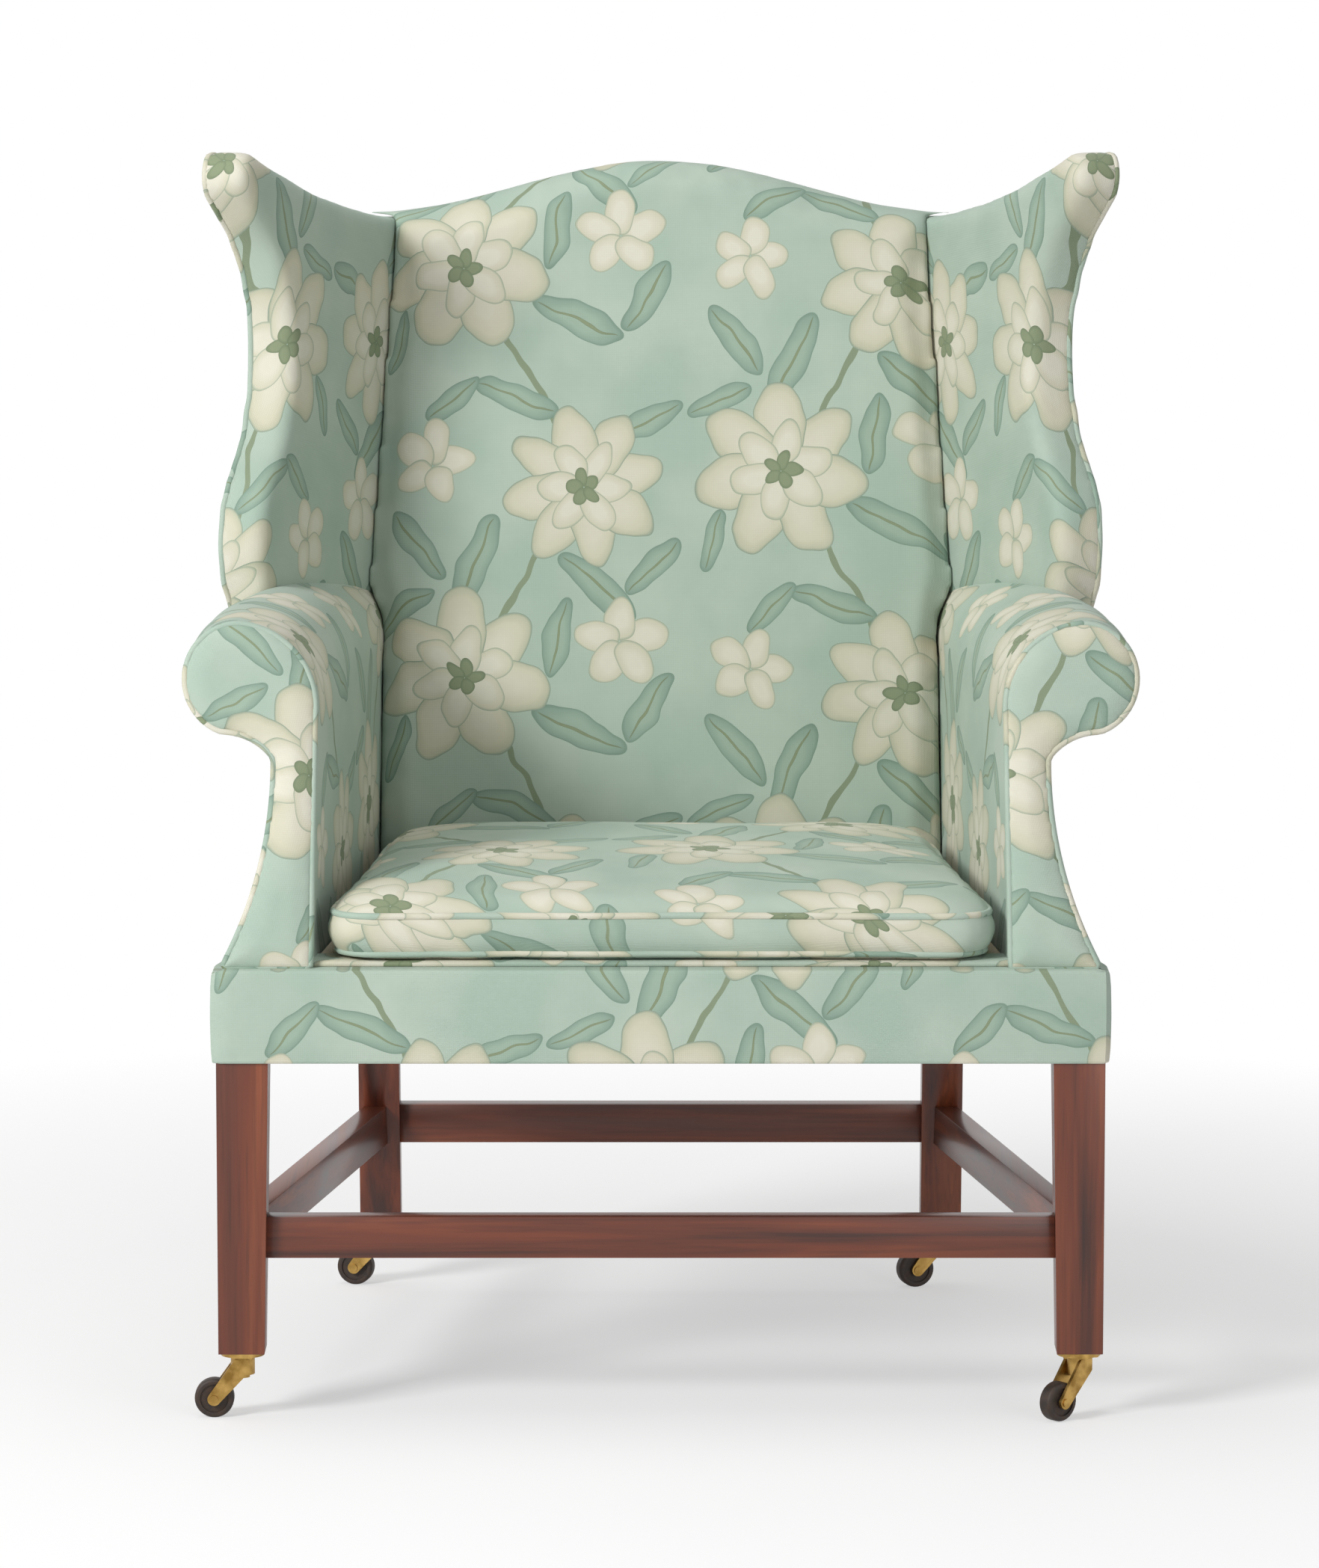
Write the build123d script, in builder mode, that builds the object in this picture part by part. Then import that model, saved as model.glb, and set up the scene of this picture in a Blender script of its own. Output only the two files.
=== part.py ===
"""Easy chair with wings: a joined wooden frame, stuffed upholstery and brass casters.

Millimetres, +Z up, the chair faces -Y. Depths are measured back from the front of the seat rail.
"""
import os
from math import cos, hypot, radians, sin, tan

from build123d import *

os.makedirs("parts", exist_ok=True)

# Clearances between pieces
FIT = 0.4               # between a soft piece and what it lies against
JOINT_FIT = 0.2         # round a tenon in its mortise
PEG_FIT = 0.1           # round a joint peg
RUNNING_FIT = 0.05      # radial, for the swivel and for the wheels

# Upholstery
COVER = 3.1             # thickness of a fabric cover with its lining
COVER_GAP = COVER + FIT

# Seat: the chair's width and depth follow these
CUSHION_FRONT_HALF = 312.0
SEAT_TAPER = 45.0       # how much narrower half the cushion is at the back
CUSHION_REAR_HALF = CUSHION_FRONT_HALF - SEAT_TAPER
CUSHION_FRONT = 5.0
BACK_DEPTH = 556.0      # from the front of the seat rail to the foot of the back
CUSHION_BEFORE = 57.0   # from the cushion to the foot of the back
CUSHION_REAR = BACK_DEPTH - CUSHION_BEFORE
CUSHION_CORNER = 38.0
CUSHION_DRAW = 0.008    # how far a side draws in, of its length
STRAP_WIDE = 50.0
STRAP_THICK = 1.2
STRAP_LIFT = 0.3
STRAP_LAP = 25.0        # how far a strap lies on the wood
REAR_LAP = 17.0
DECK_LOW = 416.8
DECK_TOP = 421.4
DECK_FRONT_HALF = CUSHION_FRONT_HALF + 2.0
DECK_REAR_HALF = CUSHION_REAR_HALF + 4.0

# Legs, rails and stretchers
LEG_SIDE = 47.0
FOOT_SIDE = 42.0
LEG_BESIDE = 67.0       # from the cushion's side to the front leg's axis
LEG_X = CUSHION_FRONT_HALF + LEG_BESIDE
LEG_DEPTH = COVER_GAP + LEG_SIDE / 2
LEG_BOTTOM = 62.0
RAIL_TOP = 413.0
RAIL_HEIGHT = 80.0
RAIL_BOTTOM = RAIL_TOP - RAIL_HEIGHT
RAIL_THICK = 32.0
POST_WIDE = 40.0
POST_BESIDE = 11.0
POST_X = CUSHION_REAR_HALF + POST_BESIDE
POST_OUT = POST_X + POST_WIDE / 2
POST_IN = POST_X - POST_WIDE / 2
LEG_OUT = LEG_X + LEG_SIDE / 2
LEG_IN = LEG_X - LEG_SIDE / 2
LEG_BACK = LEG_DEPTH + LEG_SIDE / 2
POST_KNEE = 7.0         # how far the post stands forward below the seat
POST_DEEP = 43.0
POST_FRONT = BACK_DEPTH - POST_KNEE
POST_BACK = POST_FRONT + POST_DEEP
FOOT_KICK = 42.0        # how far the rear foot stands back
FOOT_DEEP = 38.0
REAR_FOOT_FRONT = POST_FRONT + FOOT_KICK
REAR_FOOT_BACK = REAR_FOOT_FRONT + FOOT_DEEP
REAR_FOOT_DEPTH = (REAR_FOOT_FRONT + REAR_FOOT_BACK) / 2
STRETCHER_Z = 168.0
STRETCHER_HIGH = 38.0
STRETCHER_THICK = 22.0
TENON_THICK = 10.0
RAIL_TENON_HIGH = 50.0
STRETCHER_TENON_HIGH = 24.0
TENON_STOP = 7.0        # from the leg's axis to the end of a tenon
PEG_RADIUS = 3.5
PEG_LENGTH = 32.0
PEG_INSET = 13.0        # from the leg's axis to the peg
PEG_STEP = 6.0          # the pegs of one leg pass above and below each other

# Back: a plane raked backwards from the top of the seat rail
RAKE = 10.0
STILE_THICK = 34.0
HUMP_Z = 1109.0
HUMP_RISE = 49.0        # the hump over the dips beside the wings
DIP_Z = HUMP_Z - HUMP_RISE
STILE_BELOW = 17.0
STILE_TOP = DIP_Z - STILE_BELOW
DIP_BESIDE = 24.0
DIP_X = CUSHION_REAR_HALF + DIP_BESIDE
CREST_LIP = 9.6         # stuffing over the crest rail
CREST_DEEP = 82.0       # the crest rail's height at the dips
STRAP_ZONE = 3.6        # room for the webbing before the frame
BACK_PAD = 52.0
BACK_PAD_BESIDE = 18.0  # so wide that the arms and the wings trim it
BACK_PAD_HALF = CUSHION_REAR_HALF + BACK_PAD_BESIDE
BACK_PAD_LOW = 14.0
BACK_PAD_ROUND = 22.0
BACK_COVER_LOW = 8.0

# Arms: outward rolled, their fronts leaning back
ARM_LEAN = 10.8
ARM_FRONT = 10.0
FACING_THICK = 9.0
ARM_LOW = 417.0
ARM_SHOULDER = 640.0
WAIST_Z = 604.0
ARM_INNER_WALL = 12.0
UNDER_BULGE = -0.12     # of the curve under the roll, hollow
OUTSIDE_BULGE = -0.06   # of the outside below the waist, hollow
ARM_RAIL_LOW = 644.2
ARM_RAIL_HIGH = 662.0
STUMP_THICK = 30.0
ROLL_END = radians(70)  # where the roll ends, below its centre

# Wings: flat slabs that flare outwards
WING_FLARE = 22.0
WING_BEHIND = 84.0
WING_DEPTH = BACK_DEPTH + WING_BEHIND
WING_BESIDE = 33.0
WING_X = CUSHION_REAR_HALF + WING_BESIDE
WING_THICK = 44.0
WING_LOW = 690.0
WING_ROUND = 15.0
WING_BONE = 20.0        # thickness of the wing's frame pieces
WING_POST_U = 212.0
WING_POST_WIDE = 25.0

# Casters
WHEEL_RADIUS = 18.0
WHEEL_WIDE = 14.0
WHEEL_ROUND = 3.0
TRAIL = 26.0
AXLE_RADIUS = 2.5
AXLE_HEAD = 3.8
CHEEK_IN = 7.6
CHEEK_OUT = 10.8
PLATE_RADIUS = 20.0
PLATE_LOW = 58.0
STUD_RADIUS = 4.0
STUD_HEAD = 6.5
STUD_HEAD_LOW = 37.0
HUB_LOW = 40.3
HUB_HIGH = 57.6
HUB_RADIUS = 11.0
SCREW_CIRCLE = 15.4
SCREW_RADIUS = 1.8
SCREW_HEAD = 3.2
SCREW_CAP = 1.5
SCREW_COUNT = 3
CHEEK_BOSS = 6.0
CHEEK_LOW = 44.0
CHEEK_HIGH = 55.0
CHEEK_HALF = 7.0
AXLE_CAP = 1.3
AXLE_SEAT = 0.03
WHEEL_DISH = 13.0
WHEEL_BOSS = 6.0
WHEEL_DISH_DEEP = 1.5
SWIVEL = {"front_left": 180.0, "front_right": 221.0, "rear_left": 168.0, "rear_right": 196.0}

# Places in the shared frame
FRONT_TURN = radians(SWIVEL["front_right"])
CASTER_FRONT = LEG_DEPTH - (LEG_SIDE - FOOT_SIDE) / 2 + (TRAIL + WHEEL_RADIUS) * sin(FRONT_TURN)
CASTER_FRONT += (WHEEL_WIDE - WHEEL_ROUND) / 2 * cos(FRONT_TURN)
RAKE_SIN, RAKE_COS = sin(radians(RAKE)), cos(radians(RAKE))
HUMP_UP = (HUMP_Z - RAIL_TOP) / RAKE_COS
DIP_UP = (DIP_Z - RAIL_TOP) / RAKE_COS
CREST_LOW = DIP_UP - CREST_DEEP
BACK_REAR = BACK_DEPTH + HUMP_UP * RAKE_SIN + (STILE_THICK + COVER_GAP) * RAKE_COS
MIDDLE = (BACK_REAR + CASTER_FRONT) / 2


def at(depth):
    """The Y coordinate of a depth behind the front of the seat."""
    return depth - MIDDLE


BACK = Plane(
    origin=(0, at(BACK_DEPTH), RAIL_TOP), x_dir=(1, 0, 0), z_dir=(0, -RAKE_COS, RAKE_SIN)
)
LEAN_SIN, LEAN_COS = sin(radians(ARM_LEAN)), cos(radians(ARM_LEAN))
ARM_FACE = Plane(
    origin=(0, at(ARM_FRONT), RAIL_TOP), x_dir=(1, 0, 0), z_dir=(0, -LEAN_COS, LEAN_SIN)
)
FLARE_SIN, FLARE_COS = sin(radians(WING_FLARE)), cos(radians(WING_FLARE))
WING = Plane(
    origin=(WING_X, at(WING_DEPTH), 0),
    x_dir=(FLARE_SIN, -FLARE_COS, 0),
    z_dir=(-FLARE_COS, -FLARE_SIN, 0),
)


def level(height):
    """A horizontal plane at a height."""
    return Plane.XY.offset(height)


def upright(depth):
    """A vertical cross plane at a depth, seen from the front."""
    return Plane(origin=(0, at(depth), 0), x_dir=(1, 0, 0), z_dir=(0, -1, 0))


def prism(points, low, high):
    """A vertical prism over a plan of (x, depth) points."""
    with BuildPart() as solid:
        with BuildSketch(level(low)):
            with BuildLine():
                Polyline(*[(x, at(depth)) for x, depth in points], close=True)
            make_face()
        extrude(amount=high - low)
    return solid.part


def bar(start, end, thick, high, stop=0.0):
    """A straight level bar between two (x, depth, z) points, shortened at both ends."""
    run_x, run_y = end[0] - start[0], end[1] - start[1]
    length = hypot(run_x, run_y)
    middle = ((start[0] + end[0]) / 2, at((start[1] + end[1]) / 2), start[2])
    along = Plane(origin=middle, x_dir=(run_x / length, run_y / length, 0), z_dir=(0, 0, 1))
    with BuildPart(along) as solid:
        Box(length - 2 * stop, thick, high)
    return solid.part


def mirrored(part):
    """The same piece on the chair's left side."""
    return mirror(part, about=Plane.YZ)


def front_leg_blank():
    """The right front leg: square behind the rail, tapered below it."""
    with BuildPart() as solid:
        with BuildSketch(level(RAIL_BOTTOM)):
            with Locations((LEG_X, at(LEG_DEPTH))):
                Rectangle(LEG_SIDE, LEG_SIDE)
        extrude(amount=RAIL_HEIGHT)
        taper = (LEG_SIDE - FOOT_SIDE) / 2
        with BuildSketch(level(RAIL_BOTTOM)):
            with Locations((LEG_X, at(LEG_DEPTH))):
                Rectangle(LEG_SIDE, LEG_SIDE)
        with BuildSketch(level(LEG_BOTTOM)):
            with Locations((LEG_X + taper, at(LEG_DEPTH - taper))):
                Rectangle(FOOT_SIDE, FOOT_SIDE)
        loft()
    return solid.part


def rear_post_blank():
    """The right rear leg and back stile, sawn as one raked piece."""
    rise = STILE_TOP - RAIL_TOP
    slope = tan(radians(RAKE))
    back_low = BACK_DEPTH + STILE_THICK / RAKE_COS
    outline = [
        (REAR_FOOT_FRONT, LEG_BOTTOM),
        (POST_FRONT, RAIL_BOTTOM),
        (BACK_DEPTH, RAIL_TOP),
        (BACK_DEPTH + rise * slope, STILE_TOP),
        (back_low + rise * slope, STILE_TOP),
        (back_low, RAIL_TOP),
        (POST_BACK, RAIL_BOTTOM),
        (REAR_FOOT_BACK, LEG_BOTTOM),
    ]
    side = Plane(origin=(POST_IN, 0, 0), x_dir=(0, 1, 0), z_dir=(1, 0, 0))
    with BuildPart() as solid:
        with BuildSketch(side):
            with BuildLine():
                Polyline(*[(at(depth), z) for depth, z in outline], close=True)
            make_face()
        extrude(amount=POST_WIDE)
    return solid.part


FRONT_FOOT_X = LEG_X + (LEG_SIDE - FOOT_SIDE) / 2
FRONT_FOOT_DEPTH = LEG_DEPTH - (LEG_SIDE - FOOT_SIDE) / 2
FEET = {
    "front_left": (-FRONT_FOOT_X, FRONT_FOOT_DEPTH),
    "front_right": (FRONT_FOOT_X, FRONT_FOOT_DEPTH),
    "rear_left": (-POST_X, REAR_FOOT_DEPTH),
    "rear_right": (POST_X, REAR_FOOT_DEPTH),
}

# Centre lines of the rails and the stretchers
STRETCHER_FALL = (RAIL_BOTTOM - STRETCHER_Z) / (RAIL_BOTTOM - LEG_BOTTOM)
POST_AT_STRETCHER = (POST_FRONT + POST_BACK) / 2 * (1 - STRETCHER_FALL)
POST_AT_STRETCHER += REAR_FOOT_DEPTH * STRETCHER_FALL
RAIL_MID = (RAIL_TOP + RAIL_BOTTOM) / 2
FRONT_RAIL_DEPTH = COVER_GAP + RAIL_THICK / 2
REAR_RAIL_DEPTH = (BACK_DEPTH + POST_BACK) / 2
SIDE_SLOPE = (LEG_OUT - POST_OUT) / (POST_FRONT - LEG_BACK)
SIDE_SET = RAIL_THICK / 2 * hypot(1, SIDE_SLOPE)
SIDE_FRONT_X = LEG_OUT - SIDE_SET + SIDE_SLOPE * (LEG_BACK - LEG_DEPTH)
SIDE_REAR_X = POST_OUT - SIDE_SET - SIDE_SLOPE * (REAR_RAIL_DEPTH - POST_FRONT)
FRONT_RUN = ((-LEG_X, FRONT_RAIL_DEPTH, RAIL_MID), (LEG_X, FRONT_RAIL_DEPTH, RAIL_MID))
REAR_RUN = ((-POST_X, REAR_RAIL_DEPTH, RAIL_MID), (POST_X, REAR_RAIL_DEPTH, RAIL_MID))
SIDE_RUN = ((SIDE_FRONT_X, LEG_DEPTH, RAIL_MID), (SIDE_REAR_X, REAR_RAIL_DEPTH, RAIL_MID))
FRONT_STRETCH = ((-LEG_X, LEG_DEPTH, STRETCHER_Z), (LEG_X, LEG_DEPTH, STRETCHER_Z))
REAR_STRETCH = ((-POST_X, POST_AT_STRETCHER, STRETCHER_Z), (POST_X, POST_AT_STRETCHER, STRETCHER_Z))
SIDE_STRETCH = ((LEG_X, LEG_DEPTH, STRETCHER_Z), (POST_X, POST_AT_STRETCHER, STRETCHER_Z))

RAIL_RUNS = (FRONT_RUN, REAR_RUN, SIDE_RUN)
STRETCH_RUNS = (FRONT_STRETCH, REAR_STRETCH, SIDE_STRETCH)


def tenon(run, high, grow=0.0):
    """The tenons at both ends of a rail, as one thin bar; grown for the mortises."""
    return bar(*run, TENON_THICK + 2 * grow, high + 2 * grow, TENON_STOP - grow)


def peg_places():
    """Place and turn of each peg on the right side: front, side front, side rear, rear."""
    high, low = STRETCHER_Z + PEG_STEP, STRETCHER_Z - PEG_STEP
    return (
        Location((LEG_X - PEG_INSET, at(LEG_DEPTH), high), (90, 0, 0)),
        Location((LEG_X, at(LEG_DEPTH + PEG_INSET), low), (0, 90, 0)),
        Location((POST_X, at(POST_AT_STRETCHER - PEG_INSET), low), (0, 90, 0)),
        Location((POST_X - PEG_INSET, at(POST_AT_STRETCHER), high), (90, 0, 0)),
    )


def pegs(grow=0.0):
    """The pegs through the right side's stretcher tenons."""
    with BuildPart() as solid:
        for place in peg_places():
            with Locations(place):
                Cylinder(PEG_RADIUS + grow, PEG_LENGTH + 2 * grow)
    return solid.part


LEG_BLANK = front_leg_blank()
POST_BLANK = rear_post_blank()
UPRIGHTS = (LEG_BLANK, POST_BLANK, mirrored(LEG_BLANK), mirrored(POST_BLANK))
PEG_HOLES = pegs(PEG_FIT)


def mortised(blank):
    """A leg with the mortises and the peg holes of the pieces that meet it."""
    with BuildPart() as solid:
        add(blank)
        for run in RAIL_RUNS:
            add(tenon(run, RAIL_TENON_HIGH, JOINT_FIT), mode=Mode.SUBTRACT)
        for run in STRETCH_RUNS:
            add(tenon(run, STRETCHER_TENON_HIGH, JOINT_FIT), mode=Mode.SUBTRACT)
        add(PEG_HOLES, mode=Mode.SUBTRACT)
    return solid.part


def tenoned(run, thick, high, tenon_high):
    """A rail or stretcher cut to the legs' faces, with its tenons."""
    with BuildPart() as solid:
        add(bar(*run, thick, high))
        for leg in UPRIGHTS:
            add(leg, mode=Mode.SUBTRACT)
        add(tenon(run, tenon_high))
        add(PEG_HOLES, mode=Mode.SUBTRACT)
        add(mirrored(PEG_HOLES), mode=Mode.SUBTRACT)
    return solid.part


# Legs and posts
with BuildPart() as front_leg_right:
    add(mortised(LEG_BLANK))
front_leg_right.part.label = "front_leg_right"
export_step(front_leg_right.part, "parts/front_leg_right.step")

with BuildPart() as front_leg_left:
    add(mirrored(front_leg_right.part))
front_leg_left.part.label = "front_leg_left"
export_step(front_leg_left.part, "parts/front_leg_left.step")

with BuildPart() as rear_post_right:
    add(mortised(POST_BLANK))
rear_post_right.part.label = "rear_post_right"
export_step(rear_post_right.part, "parts/rear_post_right.step")

with BuildPart() as rear_post_left:
    add(mirrored(rear_post_right.part))
rear_post_left.part.label = "rear_post_left"
export_step(rear_post_left.part, "parts/rear_post_left.step")

# Seat rails
with BuildPart() as front_seat_rail:
    add(tenoned(FRONT_RUN, RAIL_THICK, RAIL_HEIGHT, RAIL_TENON_HIGH))
front_seat_rail.part.label = "front_seat_rail"
export_step(front_seat_rail.part, "parts/front_seat_rail.step")

with BuildPart() as rear_seat_rail:
    add(tenoned(REAR_RUN, RAIL_THICK, RAIL_HEIGHT, RAIL_TENON_HIGH))
rear_seat_rail.part.label = "rear_seat_rail"
export_step(rear_seat_rail.part, "parts/rear_seat_rail.step")

with BuildPart() as side_seat_rail_right:
    side_width = 2 * SIDE_SET
    add(
        prism(
            [
                (LEG_OUT, LEG_BACK),
                (POST_OUT, POST_FRONT),
                (POST_OUT - side_width, POST_FRONT),
                (LEG_OUT - side_width, LEG_BACK),
            ],
            RAIL_BOTTOM,
            RAIL_TOP,
        )
    )
    add(POST_BLANK, mode=Mode.SUBTRACT)
    add(tenon(SIDE_RUN, RAIL_TENON_HIGH))
side_seat_rail_right.part.label = "side_seat_rail_right"
export_step(side_seat_rail_right.part, "parts/side_seat_rail_right.step")

with BuildPart() as side_seat_rail_left:
    add(mirrored(side_seat_rail_right.part))
side_seat_rail_left.part.label = "side_seat_rail_left"
export_step(side_seat_rail_left.part, "parts/side_seat_rail_left.step")

# Stretchers
with BuildPart() as front_stretcher:
    add(tenoned(FRONT_STRETCH, STRETCHER_THICK, STRETCHER_HIGH, STRETCHER_TENON_HIGH))
front_stretcher.part.label = "front_stretcher"
export_step(front_stretcher.part, "parts/front_stretcher.step")

with BuildPart() as rear_stretcher:
    add(tenoned(REAR_STRETCH, STRETCHER_THICK, STRETCHER_HIGH, STRETCHER_TENON_HIGH))
rear_stretcher.part.label = "rear_stretcher"
export_step(rear_stretcher.part, "parts/rear_stretcher.step")

with BuildPart() as side_stretcher_right:
    add(tenoned(SIDE_STRETCH, STRETCHER_THICK, STRETCHER_HIGH, STRETCHER_TENON_HIGH))
side_stretcher_right.part.label = "side_stretcher_right"
export_step(side_stretcher_right.part, "parts/side_stretcher_right.step")

with BuildPart() as side_stretcher_left:
    add(mirrored(side_stretcher_right.part))
side_stretcher_left.part.label = "side_stretcher_left"
export_step(side_stretcher_left.part, "parts/side_stretcher_left.step")

with BuildPart() as joint_pegs:
    add(pegs())
    add(mirrored(pegs()))
joint_pegs.part.label = "joint_pegs"
export_step(joint_pegs.part, "parts/joint_pegs.step")

# Corner blocks inside the seat frame
BLOCK_LOW = 345.0
BLOCK_HIGH = 405.0
BLOCK_REACH = 95.0
FRONT_RAIL_BACK = COVER_GAP + RAIL_THICK
REAR_RAIL_FRONT = REAR_RAIL_DEPTH - RAIL_THICK / 2
FRONT_CORNER = prism(
    [
        (LEG_OUT, FRONT_RAIL_BACK),
        (LEG_IN - BLOCK_REACH, FRONT_RAIL_BACK),
        (LEG_OUT, LEG_BACK + BLOCK_REACH),
    ],
    BLOCK_LOW,
    BLOCK_HIGH,
)
REAR_CORNER = prism(
    [
        (POST_OUT, REAR_RAIL_FRONT),
        (POST_IN - BLOCK_REACH, REAR_RAIL_FRONT),
        (POST_OUT, POST_FRONT - BLOCK_REACH),
    ],
    BLOCK_LOW,
    BLOCK_HIGH,
)
OUTSIDE_RAIL = prism(
    [
        (SIDE_FRONT_X, LEG_DEPTH),
        (SIDE_REAR_X, REAR_RAIL_DEPTH),
        (LEG_OUT + BLOCK_REACH, REAR_RAIL_DEPTH),
        (LEG_OUT + BLOCK_REACH, LEG_DEPTH),
    ],
    BLOCK_LOW,
    BLOCK_HIGH,
)
with BuildPart() as block_side:
    add(FRONT_CORNER)
    add(REAR_CORNER)
    for piece in (LEG_BLANK, POST_BLANK, side_seat_rail_right.part, OUTSIDE_RAIL):
        add(piece, mode=Mode.SUBTRACT)
with BuildPart() as seat_corner_blocks:
    add(block_side.part)
    add(mirrored(block_side.part))
seat_corner_blocks.part.label = "seat_corner_blocks"
export_step(seat_corner_blocks.part, "parts/seat_corner_blocks.step")


def serpentine(lower=0.0):
    """The crest's line on the back plane, from left to right, with level ends."""
    end = POST_OUT + COVER_GAP
    hump, dip = HUMP_UP - lower, DIP_UP - lower
    middle = (hump + dip) / 2
    Line((-end, dip), (-DIP_X, dip))
    Spline(
        (-DIP_X, dip), (-DIP_X / 2, middle), (0, hump), (DIP_X / 2, middle), (DIP_X, dip),
        tangents=((1, 0), (1, 0)),
    )
    Line((DIP_X, dip), (end, dip))


def back_slab(rear, front, low, half, lower=0.0):
    """A slab on the back plane below the crest's line, between two offsets forward of it."""
    end = POST_OUT + COVER_GAP
    top = DIP_UP - lower
    with BuildPart() as solid:
        with BuildSketch(BACK.offset(rear)):
            with BuildLine():
                serpentine(lower)
                Polyline((end, top), (end, low), (-end, low), (-end, top))
            make_face()
            Rectangle(2 * half, 2 * HUMP_UP, mode=Mode.INTERSECT)
        extrude(amount=front - rear)
    return solid.part


# Back frame
CREST_SET = 2.0         # the crest rail lies this far behind the stiles' faces
STAY_LOW = 60.0
STAY_HIGH = 115.0
with BuildPart() as crest_rail:
    add(back_slab(CREST_SET - STILE_THICK, -CREST_SET, CREST_LOW, POST_IN, CREST_LIP + FIT))
crest_rail.part.label = "crest_rail"
export_step(crest_rail.part, "parts/crest_rail.step")

with BuildPart(BACK.offset(-CREST_SET)) as back_stay_rail:
    with Locations((0, (STAY_LOW + STAY_HIGH) / 2)):
        Box(
            2 * POST_IN,
            STAY_HIGH - STAY_LOW,
            STILE_THICK - 2 * CREST_SET,
            align=(Align.CENTER, Align.CENTER, Align.MAX),
        )
back_stay_rail.part.label = "back_stay_rail"
export_step(back_stay_rail.part, "parts/back_stay_rail.step")

# Arm sections: depth, then X beyond the cushion's side and beyond the inner face
ARM_TABLE = (
    # depth, clear, roll centre, roll height, roll radius, waist, base, shoulder bulge
    (-30.0, 5.3, 55.5, 674.0, 47.0, 35.5, 84.5, 0.2),
    (BACK_DEPTH - 156.0, 8.4, 67.6, 680.0, 45.0, 37.6, 48.6, 0.2),
    (BACK_DEPTH + 104.0, 10.3, 9.4, 690.0, 26.0, 34.4, 36.4, 0.12),
)


def cushion_side(depth):
    """Half the cushion's width at a depth, without its rounded corners."""
    return CUSHION_FRONT_HALF - SEAT_TAPER * (depth - CUSHION_FRONT) / (CUSHION_REAR - CUSHION_FRONT)


def arm_section(depth, clear, roll, height, radius, waist, base, shoulder):
    """One row of the table with its X coordinates measured from the chair's middle."""
    inner = cushion_side(depth) + clear
    return depth, inner, inner + roll, height, radius, inner + waist, inner + base, shoulder


ARM_SECTIONS = [arm_section(*row) for row in ARM_TABLE]


def bulged(start, end, bulge):
    """The middle point of an arc that stands off its chord to the left of its run."""
    run_x, run_y = end[0] - start[0], end[1] - start[1]
    middle_x, middle_y = (start[0] + end[0]) / 2, (start[1] + end[1]) / 2
    return (middle_x - run_y * bulge, middle_y + run_x * bulge)


def arm_outline(inner, centre_x, centre_z, radius, waist, base, shoulder, grow):
    """The arm's section: inside face, shoulder, roll, waist and flared outside."""
    low = (inner - grow, ARM_LOW)
    side = (inner - grow, ARM_SHOULDER)
    top = (centre_x, centre_z + radius + grow)
    outer = (centre_x + radius + grow, centre_z)
    under = (
        centre_x + (radius + grow) * cos(ROLL_END),
        centre_z - (radius + grow) * sin(ROLL_END),
    )
    neck = (waist + grow, WAIST_Z)
    foot = (base + grow, ARM_LOW)
    Line(low, side)
    ThreePointArc(side, bulged(side, top, shoulder), top)
    ThreePointArc(top, outer, under)
    ThreePointArc(under, bulged(under, neck, UNDER_BULGE), neck)
    ThreePointArc(neck, bulged(neck, foot, OUTSIDE_BULGE), foot)
    Line(foot, low)


def arm_body(grow=0.0):
    """The right arm's whole form, before its front and its rear are cut."""
    with BuildPart() as solid:
        for depth, *section in ARM_SECTIONS:
            with BuildSketch(upright(depth)):
                with BuildLine():
                    arm_outline(*section, grow)
                make_face()
        loft()
    return solid.part


ARM_BODY = arm_body()
ARM_ROOM = arm_body(FIT)
ARM_PAD_FACE = ARM_FACE.offset(-FACING_THICK - FIT)
REAR_LIMIT = BACK.offset(STRAP_ZONE)


FAR_OUT = 600.0
ARM_START, ARM_END = ARM_SECTIONS[0][0], ARM_SECTIONS[-1][0]
ARM_SLOPE = (ARM_SECTIONS[0][1] - ARM_SECTIONS[-1][1]) / (ARM_END - ARM_START)


def arm_inside(depth):
    """X of the arm's inner face at a depth."""
    return ARM_SECTIONS[0][1] - ARM_SLOPE * (depth - ARM_START)


ARM_POCKET = prism(
    [
        (arm_inside(ARM_START) + ARM_INNER_WALL, ARM_START),
        (FAR_OUT, ARM_START),
        (FAR_OUT, ARM_END),
        (arm_inside(ARM_END) + ARM_INNER_WALL, ARM_END),
    ],
    ARM_LOW - FIT,
    WAIST_Z,
)

# Arm frame: a flat board inside the roll and a shaped upright behind the facing
ARM_BOARD = (
    # depth, inner edge and outer edge beyond the arm's inner face
    (30.0, 21.5, 54.5),
    (BACK_DEPTH - 116.0, 41.0, 76.0),
    (BACK_DEPTH + 84.0, 2.8, 18.0),
)


def arm_board(grow=0.0):
    """The board inside the right arm's roll."""
    inner = [(arm_inside(depth) + near - grow, depth) for depth, near, _ in ARM_BOARD]
    outer = [(arm_inside(depth) + far + grow, depth) for depth, _, far in ARM_BOARD]
    front = ARM_BOARD[0][0] - grow
    inner[0], outer[0] = (inner[0][0], front), (outer[0][0], front)
    return prism(inner + outer[::-1], ARM_RAIL_LOW - grow, ARM_RAIL_HIGH + grow)


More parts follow.
